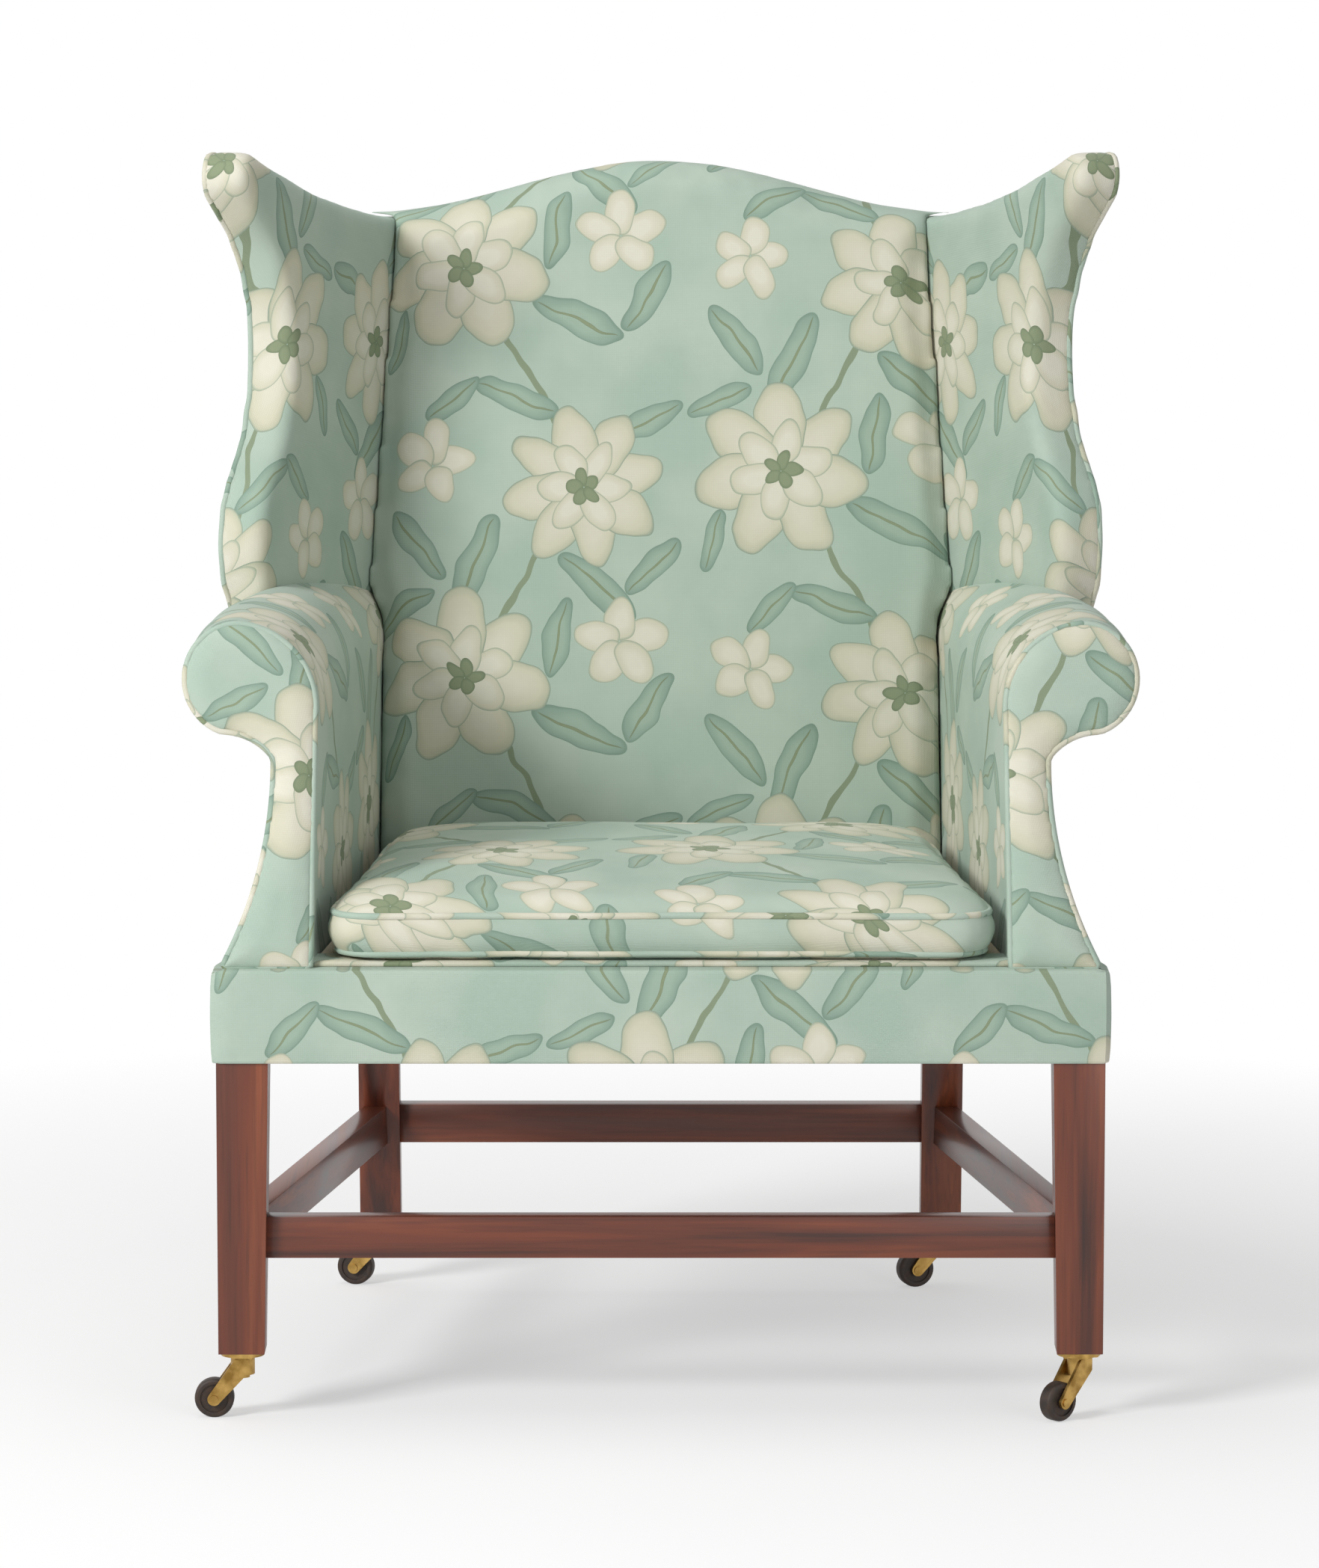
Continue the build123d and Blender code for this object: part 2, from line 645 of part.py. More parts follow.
STUMP_FRONT = -FACING_THICK - FIT
STUMP_NECK_IN = CUSHION_FRONT_HALF + 14.5
STUMP_NECK_OUT = CUSHION_FRONT_HALF + 28.5
STUMP_BASE_OUT = LEG_X
STUMP_TOP = (ARM_RAIL_LOW - RAIL_TOP - FIT) / LEAN_COS - STUMP_THICK * LEAN_SIN / LEAN_COS
STUMP_WAIST = (WAIST_Z - RAIL_TOP) / LEAN_COS
STUMP_FOOT = 3.0

with BuildPart() as arm_rail_right:
    add(arm_board())
    split(bisect_by=ARM_PAD_FACE, keep=Keep.BOTTOM)
    split(bisect_by=BACK, keep=Keep.TOP)
arm_rail_right.part.label = "arm_rail_right"
export_step(arm_rail_right.part, "parts/arm_rail_right.step")

with BuildPart() as arm_rail_left:
    add(mirrored(arm_rail_right.part))
arm_rail_left.part.label = "arm_rail_left"
export_step(arm_rail_left.part, "parts/arm_rail_left.step")


def stump(grow=0.0):
    """The right arm's upright, straight inside and flared outside."""
    with BuildPart() as solid:
        with BuildSketch(ARM_FACE.offset(STUMP_FRONT)):
            with BuildLine():
                Polyline(
                    (STUMP_BASE_OUT + grow, STUMP_FOOT),
                    (STUMP_NECK_IN - grow, STUMP_FOOT),
                    (STUMP_NECK_IN - grow, STUMP_TOP + grow),
                    (STUMP_NECK_OUT + grow, STUMP_TOP + grow),
                    (STUMP_NECK_OUT + grow, STUMP_WAIST),
                )
                neck = (STUMP_NECK_OUT + grow, STUMP_WAIST)
                foot = (STUMP_BASE_OUT + grow, STUMP_FOOT)
                ThreePointArc(neck, bulged(neck, foot, OUTSIDE_BULGE), foot)
            make_face()
        extrude(amount=-STUMP_THICK - grow)
        split(bisect_by=level(RAIL_TOP), keep=Keep.TOP)
    return solid.part


with BuildPart() as arm_stump_right:
    add(stump())
arm_stump_right.part.label = "arm_stump_right"
export_step(arm_stump_right.part, "parts/arm_stump_right.step")

with BuildPart() as arm_stump_left:
    add(mirrored(arm_stump_right.part))
arm_stump_left.part.label = "arm_stump_left"
export_step(arm_stump_left.part, "parts/arm_stump_left.step")

# Wing frame: an upright on the arm rail and a shaped rail up to the ear
BONE_IN = (WING_THICK - WING_BONE) / 2
WING_RAIL = [
    (forward, DIP_Z + up)
    for forward, up in ((-60, -64), (-60, -30), (150, 6), (300, 48), (308, 32), (230, -10), (190, -10))
]
WING_POST_TOP = DIP_Z - 10.0 - FIT / 2


def wing_bone(points, grow=0.0):
    """A flat piece of the right wing's frame, from its outline in the wing's plane."""
    with BuildPart() as solid:
        with BuildSketch(WING.offset(BONE_IN - grow)):
            with BuildLine():
                Polyline(*points, close=True)
            make_face()
            if grow:
                offset(amount=grow, kind=Kind.INTERSECTION)
        extrude(amount=WING_BONE + 2 * grow)
    return solid.part


POST_U_IN = WING_POST_U - WING_POST_WIDE / 2
POST_U_OUT = WING_POST_U + WING_POST_WIDE / 2
WING_UPRIGHT = [
    (POST_U_IN, ARM_RAIL_HIGH),
    (POST_U_IN, WING_POST_TOP),
    (POST_U_OUT, WING_POST_TOP),
    (POST_U_OUT, ARM_RAIL_HIGH),
]

with BuildPart() as wing_post_right:
    add(wing_bone(WING_UPRIGHT))
wing_post_right.part.label = "wing_post_right"
export_step(wing_post_right.part, "parts/wing_post_right.step")

with BuildPart() as wing_post_left:
    add(mirrored(wing_post_right.part))
wing_post_left.part.label = "wing_post_left"
export_step(wing_post_left.part, "parts/wing_post_left.step")

with BuildPart() as wing_rail_right:
    add(wing_bone(WING_RAIL))
    split(bisect_by=BACK, keep=Keep.TOP)
wing_rail_right.part.label = "wing_rail_right"
export_step(wing_rail_right.part, "parts/wing_rail_right.step")

with BuildPart() as wing_rail_left:
    add(mirrored(wing_rail_right.part))
wing_rail_left.part.label = "wing_rail_left"
export_step(wing_rail_left.part, "parts/wing_rail_left.step")

# Arm upholstery
POST_ROOM = wing_bone(WING_UPRIGHT, FIT)
BOARD_ROOM = arm_board(FIT)
STUMP_ROOM = stump(FIT)
with BuildPart() as arm_pad_right:
    add(ARM_BODY)
    split(bisect_by=ARM_PAD_FACE, keep=Keep.BOTTOM)
    split(bisect_by=REAR_LIMIT, keep=Keep.TOP)
    for hollow in (ARM_POCKET, STUMP_ROOM, BOARD_ROOM, POST_ROOM):
        add(hollow, mode=Mode.SUBTRACT)
arm_pad_right.part.label = "arm_pad_right"
export_step(arm_pad_right.part, "parts/arm_pad_right.step")

with BuildPart() as arm_pad_left:
    add(mirrored(arm_pad_right.part))
arm_pad_left.part.label = "arm_pad_left"
export_step(arm_pad_left.part, "parts/arm_pad_left.step")

with BuildPart() as arm_facing_right:
    add(ARM_BODY)
    split(bisect_by=ARM_FACE, keep=Keep.BOTTOM)
    split(bisect_by=ARM_FACE.offset(-FACING_THICK), keep=Keep.TOP)
arm_facing_right.part.label = "arm_facing_right"
export_step(arm_facing_right.part, "parts/arm_facing_right.step")

with BuildPart() as arm_facing_left:
    add(mirrored(arm_facing_right.part))
arm_facing_left.part.label = "arm_facing_left"
export_step(arm_facing_left.part, "parts/arm_facing_left.step")

with BuildPart() as outside_arm_cover_right:
    for depth, _, _, _, _, waist, base, _ in ARM_SECTIONS:
        with BuildSketch(upright(depth)):
            with BuildLine():
                neck, foot = (waist, WAIST_Z - FIT), (base, RAIL_TOP + FIT)
                inner_neck = (waist - COVER, WAIST_Z - FIT)
                inner_foot = (base - COVER, RAIL_TOP + FIT)
                ThreePointArc(neck, bulged(neck, foot, OUTSIDE_BULGE), foot)
                Line(foot, inner_foot)
                ThreePointArc(inner_foot, bulged(inner_foot, inner_neck, -OUTSIDE_BULGE), inner_neck)
                Line(inner_neck, neck)
            make_face()
    loft()
    split(bisect_by=ARM_PAD_FACE, keep=Keep.BOTTOM)
    split(bisect_by=BACK.offset(FIT), keep=Keep.TOP)
outside_arm_cover_right.part.label = "outside_arm_cover_right"
export_step(outside_arm_cover_right.part, "parts/outside_arm_cover_right.step")

with BuildPart() as outside_arm_cover_left:
    add(mirrored(outside_arm_cover_right.part))
outside_arm_cover_left.part.label = "outside_arm_cover_left"
export_step(outside_arm_cover_left.part, "parts/outside_arm_cover_left.step")

# Wing upholstery: outline in the wing's plane, (forward, up)
WING_TOE = (272, WING_LOW)
WING_BULGE = (309, 768)
WING_HIP = (281, 835)
WING_NECK = (290, DIP_Z + 2.0)
EAR_RUN = 57.0
EAR_RADIUS = 22.0
EAR_TURN = 159.0
WING_BACK = (-20, DIP_Z)
WING_REAR = -80


def wing_slab(inset, thick, grow=0.0):
    """The right wing's form, between its outside and its inside face."""
    with BuildPart() as solid:
        with BuildSketch(WING.offset(inset)):
            with BuildLine():
                bulge = ThreePointArc(WING_TOE, WING_BULGE, WING_HIP)
                hollow = TangentArc(WING_HIP, WING_NECK, tangent=bulge % 1)
                under = PolarLine(WING_NECK, EAR_RUN, direction=hollow % 1)
                ear = JernArc(under @ 1, under % 1, EAR_RADIUS, EAR_TURN)
                TangentArc(ear @ 1, WING_BACK, tangent=ear % 1)
                Polyline(WING_BACK, (WING_REAR, DIP_Z), (WING_REAR, WING_LOW), WING_TOE)
            make_face()
            if grow:
                offset(amount=grow, kind=Kind.INTERSECTION)
        extrude(amount=thick)
    return solid.part


with BuildPart() as wing_pad_right:
    add(wing_slab(0, WING_THICK))
    inside = wing_pad_right.faces().sort_by(Axis(origin=(0, 0, 0), direction=WING.z_dir))[-1]
    fillet(inside.edges().sort_by(Axis.Y)[:5], radius=WING_ROUND)
    split(bisect_by=REAR_LIMIT, keep=Keep.TOP)
    for hollow in (ARM_ROOM, POST_ROOM, wing_bone(WING_RAIL, FIT)):
        add(hollow, mode=Mode.SUBTRACT)
wing_pad_right.part.label = "wing_pad_right"
export_step(wing_pad_right.part, "parts/wing_pad_right.step")

with BuildPart() as wing_pad_left:
    add(mirrored(wing_pad_right.part))
wing_pad_left.part.label = "wing_pad_left"
export_step(wing_pad_left.part, "parts/wing_pad_left.step")

with BuildPart() as outside_wing_cover_right:
    add(wing_slab(-COVER_GAP, COVER))
    split(bisect_by=BACK.offset(FIT), keep=Keep.TOP)
    add(ARM_ROOM, mode=Mode.SUBTRACT)
outside_wing_cover_right.part.label = "outside_wing_cover_right"
export_step(outside_wing_cover_right.part, "parts/outside_wing_cover_right.step")

with BuildPart() as outside_wing_cover_left:
    add(mirrored(outside_wing_cover_right.part))
outside_wing_cover_left.part.label = "outside_wing_cover_left"
export_step(outside_wing_cover_left.part, "parts/outside_wing_cover_left.step")

# Back upholstery
WING_ROOM = wing_slab(-COVER_GAP - FIT, WING_THICK + COVER_GAP + 2 * FIT, FIT)
FRAME_TOP = back_slab(-STILE_THICK - FIT, STRAP_ZONE, 0, POST_OUT + COVER_GAP, CREST_LIP)
with BuildPart() as back_pad_half:
    add(back_slab(0, BACK_PAD, BACK_PAD_LOW, BACK_PAD_HALF))
    front_face = back_pad_half.faces().sort_by(Axis(origin=(0, 0, 0), direction=BACK.z_dir))[-1]
    fillet(front_face.edges().sort_by(Axis.Z)[-1], BACK_PAD_ROUND)
    split(bisect_by=Plane.YZ, keep=Keep.TOP)
    add(WING_ROOM, mode=Mode.SUBTRACT)
    add(ARM_ROOM, mode=Mode.SUBTRACT)
with BuildPart() as crest_lip_half:
    add(back_slab(-STILE_THICK - FIT + STRAP_LIFT, STRAP_ZONE, CREST_LOW, POST_OUT))
    split(bisect_by=Plane.YZ, keep=Keep.TOP)
    add(WING_ROOM, mode=Mode.SUBTRACT)
with BuildPart() as back_pad:
    for half in (back_pad_half.part, crest_lip_half.part):
        add(half)
        add(mirrored(half))
    add(FRAME_TOP, mode=Mode.SUBTRACT)
back_pad.part.label = "back_pad"
export_step(back_pad.part, "parts/back_pad.step")

FLANGE_TOP = DIP_UP - COVER_GAP
with BuildPart() as outside_back_cover:
    add(back_slab(-STILE_THICK - COVER_GAP, -STILE_THICK - FIT, BACK_COVER_LOW, POST_OUT + COVER_GAP))
    with BuildSketch(BACK.offset(-STILE_THICK - FIT)):
        with Locations((0, (BACK_COVER_LOW + FLANGE_TOP) / 2)):
            Rectangle(2 * (POST_OUT + COVER_GAP), FLANGE_TOP - BACK_COVER_LOW)
            Rectangle(2 * (POST_OUT + FIT), FLANGE_TOP, mode=Mode.SUBTRACT)
    extrude(amount=STILE_THICK)
outside_back_cover.part.label = "outside_back_cover"
export_step(outside_back_cover.part, "parts/outside_back_cover.step")

BACK_STRAP_EDGE = 45.0  # from a rail to the nearest cross strap's middle
BACK_STRAP_COUNT = 4
BACK_STRAP_LOW = STAY_HIGH + BACK_STRAP_EDGE
BACK_STRAP_STEP = (CREST_LOW - BACK_STRAP_EDGE - BACK_STRAP_LOW) / (BACK_STRAP_COUNT - 1)
BACK_STRAPS = [BACK_STRAP_LOW + BACK_STRAP_STEP * i for i in range(BACK_STRAP_COUNT)]
BACK_UPRIGHTS = (-130.0, 0.0, 130.0)
with BuildPart() as back_webbing:
    for up in BACK_STRAPS:
        with BuildSketch(BACK.offset(STRAP_LIFT)):
            with Locations((0, up)):
                Rectangle(2 * (POST_IN + STRAP_LAP), STRAP_WIDE)
        extrude(amount=STRAP_THICK)
    for across in BACK_UPRIGHTS:
        with BuildSketch(BACK.offset(2 * STRAP_LIFT + STRAP_THICK)):
            with Locations((across, (STAY_HIGH + CREST_LOW) / 2)):
                Rectangle(STRAP_WIDE, CREST_LOW - STAY_LOW)
        extrude(amount=STRAP_THICK)
back_webbing.part.label = "back_webbing"
export_step(back_webbing.part, "parts/back_webbing.step")

# Seat
SEAT_STRAPS = (-200.0, -100.0, 0.0, 100.0, 200.0)
CROSS_FIRST = 110.0
CROSS_LAST = BACK_DEPTH - 86.0
CROSS_COUNT = 5
CROSS_STEP = (CROSS_LAST - CROSS_FIRST) / (CROSS_COUNT - 1)
CROSS_STRAPS = [CROSS_FIRST + CROSS_STEP * i for i in range(CROSS_COUNT)]
STRAP_LOW = RAIL_TOP + STRAP_LIFT
with BuildPart() as seat_webbing:
    for across in SEAT_STRAPS:
        near, far = FRONT_RAIL_BACK - STRAP_LAP, REAR_RAIL_FRONT + REAR_LAP
        with BuildSketch(level(STRAP_LOW)):
            with Locations((across, at((near + far) / 2))):
                Rectangle(STRAP_WIDE, far - near)
        extrude(amount=STRAP_THICK)
    for depth in CROSS_STRAPS:
        half = SIDE_FRONT_X - SIDE_SLOPE * (depth + STRAP_WIDE / 2 - LEG_DEPTH)
        with BuildSketch(level(STRAP_LOW + STRAP_THICK + STRAP_LIFT)):
            with Locations((0, at(depth))):
                Rectangle(2 * half, STRAP_WIDE)
        extrude(amount=STRAP_THICK)
seat_webbing.part.label = "seat_webbing"
export_step(seat_webbing.part, "parts/seat_webbing.step")

with BuildPart() as seat_deck:
    add(
        prism(
            [
                (-DECK_FRONT_HALF, COVER_GAP),
                (DECK_FRONT_HALF, COVER_GAP),
                (DECK_REAR_HALF, CUSHION_REAR),
                (-DECK_REAR_HALF, CUSHION_REAR),
            ],
            DECK_LOW,
            DECK_TOP,
        )
    )
seat_deck.part.label = "seat_deck"
export_step(seat_deck.part, "parts/seat_deck.step")

# Cushion: heights above the floor with the inset of its outline at each
CUSHION_LEVELS = (
    (422.0, 15.0),
    (427.0, 7.0),
    (436.0, 1.5),
    (446.0, 0.0),
    (456.0, 1.5),
    (465.0, 7.0),
    (470.0, 15.0),
    (478.0, 48.0),
    (485.0, 92.0),
    (489.0, 140.0),
)


def cushion_outline(inset):
    """The cushion's plan at one height: its sides draw in between rounded corners."""
    front, rear = CUSHION_FRONT_HALF - inset, CUSHION_REAR_HALF - inset
    near, far = at(CUSHION_FRONT + inset), at(CUSHION_REAR - inset)
    corners = [(-front, near), (front, near), (rear, far), (-rear, far)]
    for start, end in zip(corners, corners[1:] + corners[:1]):
        ThreePointArc(start, bulged(start, end, CUSHION_DRAW), end)


with BuildPart() as seat_cushion:
    for height, inset in CUSHION_LEVELS:
        with BuildSketch(level(height)) as plan:
            with BuildLine():
                cushion_outline(inset)
            make_face()
            fillet(plan.vertices(), radius=CUSHION_CORNER)
    loft(ruled=True)
seat_cushion.part.label = "seat_cushion"
export_step(seat_cushion.part, "parts/seat_cushion.step")

# Covers on the rails
COVER_UNDER = 2.0       # how far the covers reach below the rails
COVER_LOW = RAIL_BOTTOM - COVER_UNDER
with BuildPart() as front_rail_cover:
    cover_half = LEG_OUT + COVER_GAP
    cover_plan = [(-cover_half, 0), (cover_half, 0), (cover_half, COVER), (-cover_half, COVER)]
    add(prism(cover_plan, COVER_LOW, DECK_LOW))
front_rail_cover.part.label = "front_rail_cover"
export_step(front_rail_cover.part, "parts/front_rail_cover.step")

with BuildPart() as side_rail_cover_right:
    side_plan = [
        (LEG_OUT + FIT, COVER_GAP),
        (LEG_OUT + COVER_GAP, COVER_GAP),
        (LEG_OUT + COVER_GAP, LEG_BACK),
        (POST_OUT + COVER_GAP, POST_FRONT),
        (POST_OUT + COVER_GAP, POST_BACK),
        (POST_OUT + FIT, POST_BACK),
        (POST_OUT + FIT, POST_FRONT),
        (LEG_OUT + FIT, LEG_BACK),
    ]
    add(prism(side_plan, COVER_LOW, RAIL_TOP))
side_rail_cover_right.part.label = "side_rail_cover_right"
export_step(side_rail_cover_right.part, "parts/side_rail_cover_right.step")

with BuildPart() as side_rail_cover_left:
    add(mirrored(side_rail_cover_right.part))
side_rail_cover_left.part.label = "side_rail_cover_left"
export_step(side_rail_cover_left.part, "parts/side_rail_cover_left.step")

with BuildPart() as rear_rail_cover:
    rear_half = POST_OUT + COVER_GAP
    near, far = POST_BACK + FIT, POST_BACK + COVER_GAP
    rear_plan = [(-rear_half, near), (rear_half, near), (rear_half, far), (-rear_half, far)]
    add(prism(rear_plan, COVER_LOW, RAIL_TOP))
rear_rail_cover.part.label = "rear_rail_cover"
export_step(rear_rail_cover.part, "parts/rear_rail_cover.step")

DUST_THICK = 1.2
with BuildPart() as dust_cover:
    dust_top = RAIL_BOTTOM - STRAP_LIFT
    dust_plan = [
        (-LEG_OUT, COVER_GAP),
        (LEG_OUT, COVER_GAP),
        (LEG_OUT, LEG_BACK),
        (POST_OUT, POST_FRONT),
        (POST_OUT, POST_BACK),
        (-POST_OUT, POST_BACK),
        (-POST_OUT, POST_FRONT),
        (-LEG_OUT, LEG_BACK),
    ]
    add(prism(dust_plan, dust_top - DUST_THICK, dust_top))
    for leg in UPRIGHTS:
        add(leg, mode=Mode.SUBTRACT)
dust_cover.part.label = "dust_cover"
export_step(dust_cover.part, "parts/dust_cover.step")


# Casters
def caster_plane(place, height=0.0):
    """A level plane on a caster's swivel axis, its X along the trail."""
    x, depth = FEET[place]
    turn = radians(SWIVEL[place])
    return Plane(origin=(x, at(depth), height), x_dir=(cos(turn), sin(turn), 0), z_dir=(0, 0, 1))


def wheel_place(place):
    """A level plane through a caster's axle."""
    return caster_plane(place, WHEEL_RADIUS)


def caster_horn(place):
    """A caster's horn: a hub on the stud and two cheeks down to the axle."""
    trail = caster_plane(place)
    with BuildPart() as solid:
        for side in (CHEEK_IN, -CHEEK_OUT):
            along = Plane(trail.origin, x_dir=trail.x_dir, z_dir=-trail.y_dir)
            with BuildSketch(along.offset(side)):
                with Locations((TRAIL, WHEEL_RADIUS)):
                    Circle(CHEEK_BOSS)
                with Locations((0, (CHEEK_LOW + CHEEK_HIGH) / 2)):
                    Rectangle(2 * CHEEK_HALF, CHEEK_HIGH - CHEEK_LOW)
                make_hull()
            extrude(amount=CHEEK_OUT - CHEEK_IN)
        with BuildSketch(caster_plane(place, HUB_LOW)):
            Circle(HUB_RADIUS)
        extrude(amount=HUB_HIGH - HUB_LOW)
        with BuildSketch(caster_plane(place, HUB_LOW)):
            Circle(STUD_RADIUS + RUNNING_FIT)
        extrude(amount=HUB_HIGH - HUB_LOW, mode=Mode.SUBTRACT)
        axle_line = Plane(wheel_place(place).origin, x_dir=trail.x_dir, z_dir=-trail.y_dir)
        with BuildSketch(axle_line):
            with Locations((TRAIL, 0)):
                Circle(AXLE_RADIUS + AXLE_SEAT)
        extrude(amount=CHEEK_OUT, both=True, mode=Mode.SUBTRACT)
    return solid.part


def caster_axle(place):
    """A caster's axle, riveted over at both ends."""
    trail = caster_plane(place)
    axle_line = Plane(wheel_place(place).origin, x_dir=trail.x_dir, z_dir=-trail.y_dir)
    with BuildPart() as solid:
        with BuildSketch(axle_line):
            with Locations((TRAIL, 0)):
                Circle(AXLE_RADIUS)
        extrude(amount=CHEEK_OUT + AXLE_CAP, both=True)
        for side in (CHEEK_OUT + AXLE_SEAT, -CHEEK_OUT - AXLE_CAP):
            with BuildSketch(axle_line.offset(side)):
                with Locations((TRAIL, 0)):
                    Circle(AXLE_HEAD)
            extrude(amount=AXLE_CAP - AXLE_SEAT)
    return solid.part


def caster_wheel(place):
    """A caster's wheel with rounded rims and a groove round each side."""
    trail = caster_plane(place)
    axle_line = Plane(wheel_place(place).origin, x_dir=trail.x_dir, z_dir=-trail.y_dir)
    with BuildPart() as solid:
        with BuildSketch(axle_line):
            with Locations((TRAIL, 0)):
                Circle(WHEEL_RADIUS)
        extrude(amount=WHEEL_WIDE / 2, both=True)
        fillet(solid.edges(), WHEEL_ROUND)
        for side in (WHEEL_WIDE / 2, -WHEEL_WIDE / 2):
            with BuildSketch(axle_line.offset(side)):
                with Locations((TRAIL, 0)):
                    Circle(WHEEL_DISH)
                    Circle(WHEEL_BOSS, mode=Mode.SUBTRACT)
            extrude(amount=WHEEL_DISH_DEEP, both=True, mode=Mode.SUBTRACT)
        with BuildSketch(axle_line):
            with Locations((TRAIL, 0)):
                Circle(AXLE_RADIUS + RUNNING_FIT)
        extrude(amount=WHEEL_WIDE, both=True, mode=Mode.SUBTRACT)
    return solid.part


with BuildPart() as caster_plates:
    for place in FEET:
        with BuildSketch(caster_plane(place, PLATE_LOW)):
            Circle(PLATE_RADIUS)
        extrude(amount=LEG_BOTTOM - PLATE_LOW)
        with BuildSketch(caster_plane(place, STUD_HEAD_LOW)):
            Circle(STUD_RADIUS)
        extrude(amount=LEG_BOTTOM - STUD_HEAD_LOW)
        with BuildSketch(caster_plane(place, STUD_HEAD_LOW)):
            Circle(STUD_HEAD)
        extrude(amount=HUB_LOW - STUD_HEAD_LOW - FIT)
        with BuildSketch(caster_plane(place, PLATE_LOW)):
            with PolarLocations(SCREW_CIRCLE, SCREW_COUNT):
                Circle(SCREW_RADIUS + PEG_FIT)
        extrude(amount=LEG_BOTTOM - PLATE_LOW, mode=Mode.SUBTRACT)
caster_plates.part.label = "caster_plates"
export_step(caster_plates.part, "parts/caster_plates.step")

with BuildPart() as caster_screws:
    for place in FEET:
        with BuildSketch(caster_plane(place, PLATE_LOW - SCREW_CAP)):
            with PolarLocations(SCREW_CIRCLE, SCREW_COUNT):
                Circle(SCREW_HEAD)
        extrude(amount=SCREW_CAP - PEG_FIT)
        with BuildSketch(caster_plane(place, PLATE_LOW - SCREW_CAP)):
            with PolarLocations(SCREW_CIRCLE, SCREW_COUNT):
                Circle(SCREW_RADIUS)
        extrude(amount=SCREW_CAP + LEG_BOTTOM - PLATE_LOW)
caster_screws.part.label = "caster_screws"
export_step(caster_screws.part, "parts/caster_screws.step")

with BuildPart() as horn_front_left:
    add(caster_horn("front_left"))
horn_front_left.part.label = "caster_horn_front_left"
export_step(horn_front_left.part, "parts/caster_horn_front_left.step")

with BuildPart() as axle_front_left:
    add(caster_axle("front_left"))
axle_front_left.part.label = "caster_axle_front_left"
export_step(axle_front_left.part, "parts/caster_axle_front_left.step")

with BuildPart() as wheel_front_left:
    add(caster_wheel("front_left"))
wheel_front_left.part.label = "caster_wheel_front_left"
export_step(wheel_front_left.part, "parts/caster_wheel_front_left.step")

with BuildPart() as horn_front_right:
    add(caster_horn("front_right"))
horn_front_right.part.label = "caster_horn_front_right"
export_step(horn_front_right.part, "parts/caster_horn_front_right.step")

with BuildPart() as axle_front_right:
    add(caster_axle("front_right"))
axle_front_right.part.label = "caster_axle_front_right"
export_step(axle_front_right.part, "parts/caster_axle_front_right.step")

with BuildPart() as wheel_front_right:
    add(caster_wheel("front_right"))
wheel_front_right.part.label = "caster_wheel_front_right"
export_step(wheel_front_right.part, "parts/caster_wheel_front_right.step")

with BuildPart() as horn_rear_left:
    add(caster_horn("rear_left"))
horn_rear_left.part.label = "caster_horn_rear_left"
export_step(horn_rear_left.part, "parts/caster_horn_rear_left.step")

with BuildPart() as axle_rear_left:
    add(caster_axle("rear_left"))
axle_rear_left.part.label = "caster_axle_rear_left"
export_step(axle_rear_left.part, "parts/caster_axle_rear_left.step")

with BuildPart() as wheel_rear_left:
    add(caster_wheel("rear_left"))
wheel_rear_left.part.label = "caster_wheel_rear_left"
export_step(wheel_rear_left.part, "parts/caster_wheel_rear_left.step")

with BuildPart() as horn_rear_right:
    add(caster_horn("rear_right"))
horn_rear_right.part.label = "caster_horn_rear_right"
export_step(horn_rear_right.part, "parts/caster_horn_rear_right.step")

with BuildPart() as axle_rear_right:
    add(caster_axle("rear_right"))
axle_rear_right.part.label = "caster_axle_rear_right"
export_step(axle_rear_right.part, "parts/caster_axle_rear_right.step")

with BuildPart() as wheel_rear_right:
    add(caster_wheel("rear_right"))
wheel_rear_right.part.label = "caster_wheel_rear_right"
export_step(wheel_rear_right.part, "parts/caster_wheel_rear_right.step")
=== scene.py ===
"""The easy chair with wings in its studio: stuffed upholstery, polished mahogany and brass casters.

Metres, +Z up, the chair faces -Y. Depths are measured back from the front of the seat rail.
"""

import logging
import math
from contextlib import contextmanager
from dataclasses import dataclass, field, fields
from enum import Enum
from typing import Any, Callable, Iterator, Sequence

import bpy
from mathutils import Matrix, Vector, noise
from mathutils.bvhtree import BVHTree


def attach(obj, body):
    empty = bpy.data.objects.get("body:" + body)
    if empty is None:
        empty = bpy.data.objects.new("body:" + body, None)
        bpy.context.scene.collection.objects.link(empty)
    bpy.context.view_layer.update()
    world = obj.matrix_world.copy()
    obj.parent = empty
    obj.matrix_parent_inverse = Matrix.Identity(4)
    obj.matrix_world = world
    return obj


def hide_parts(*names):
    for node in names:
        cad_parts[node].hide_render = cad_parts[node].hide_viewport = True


LOG = logging.getLogger("easy_chair")
CLOTH_UV = "cloth"

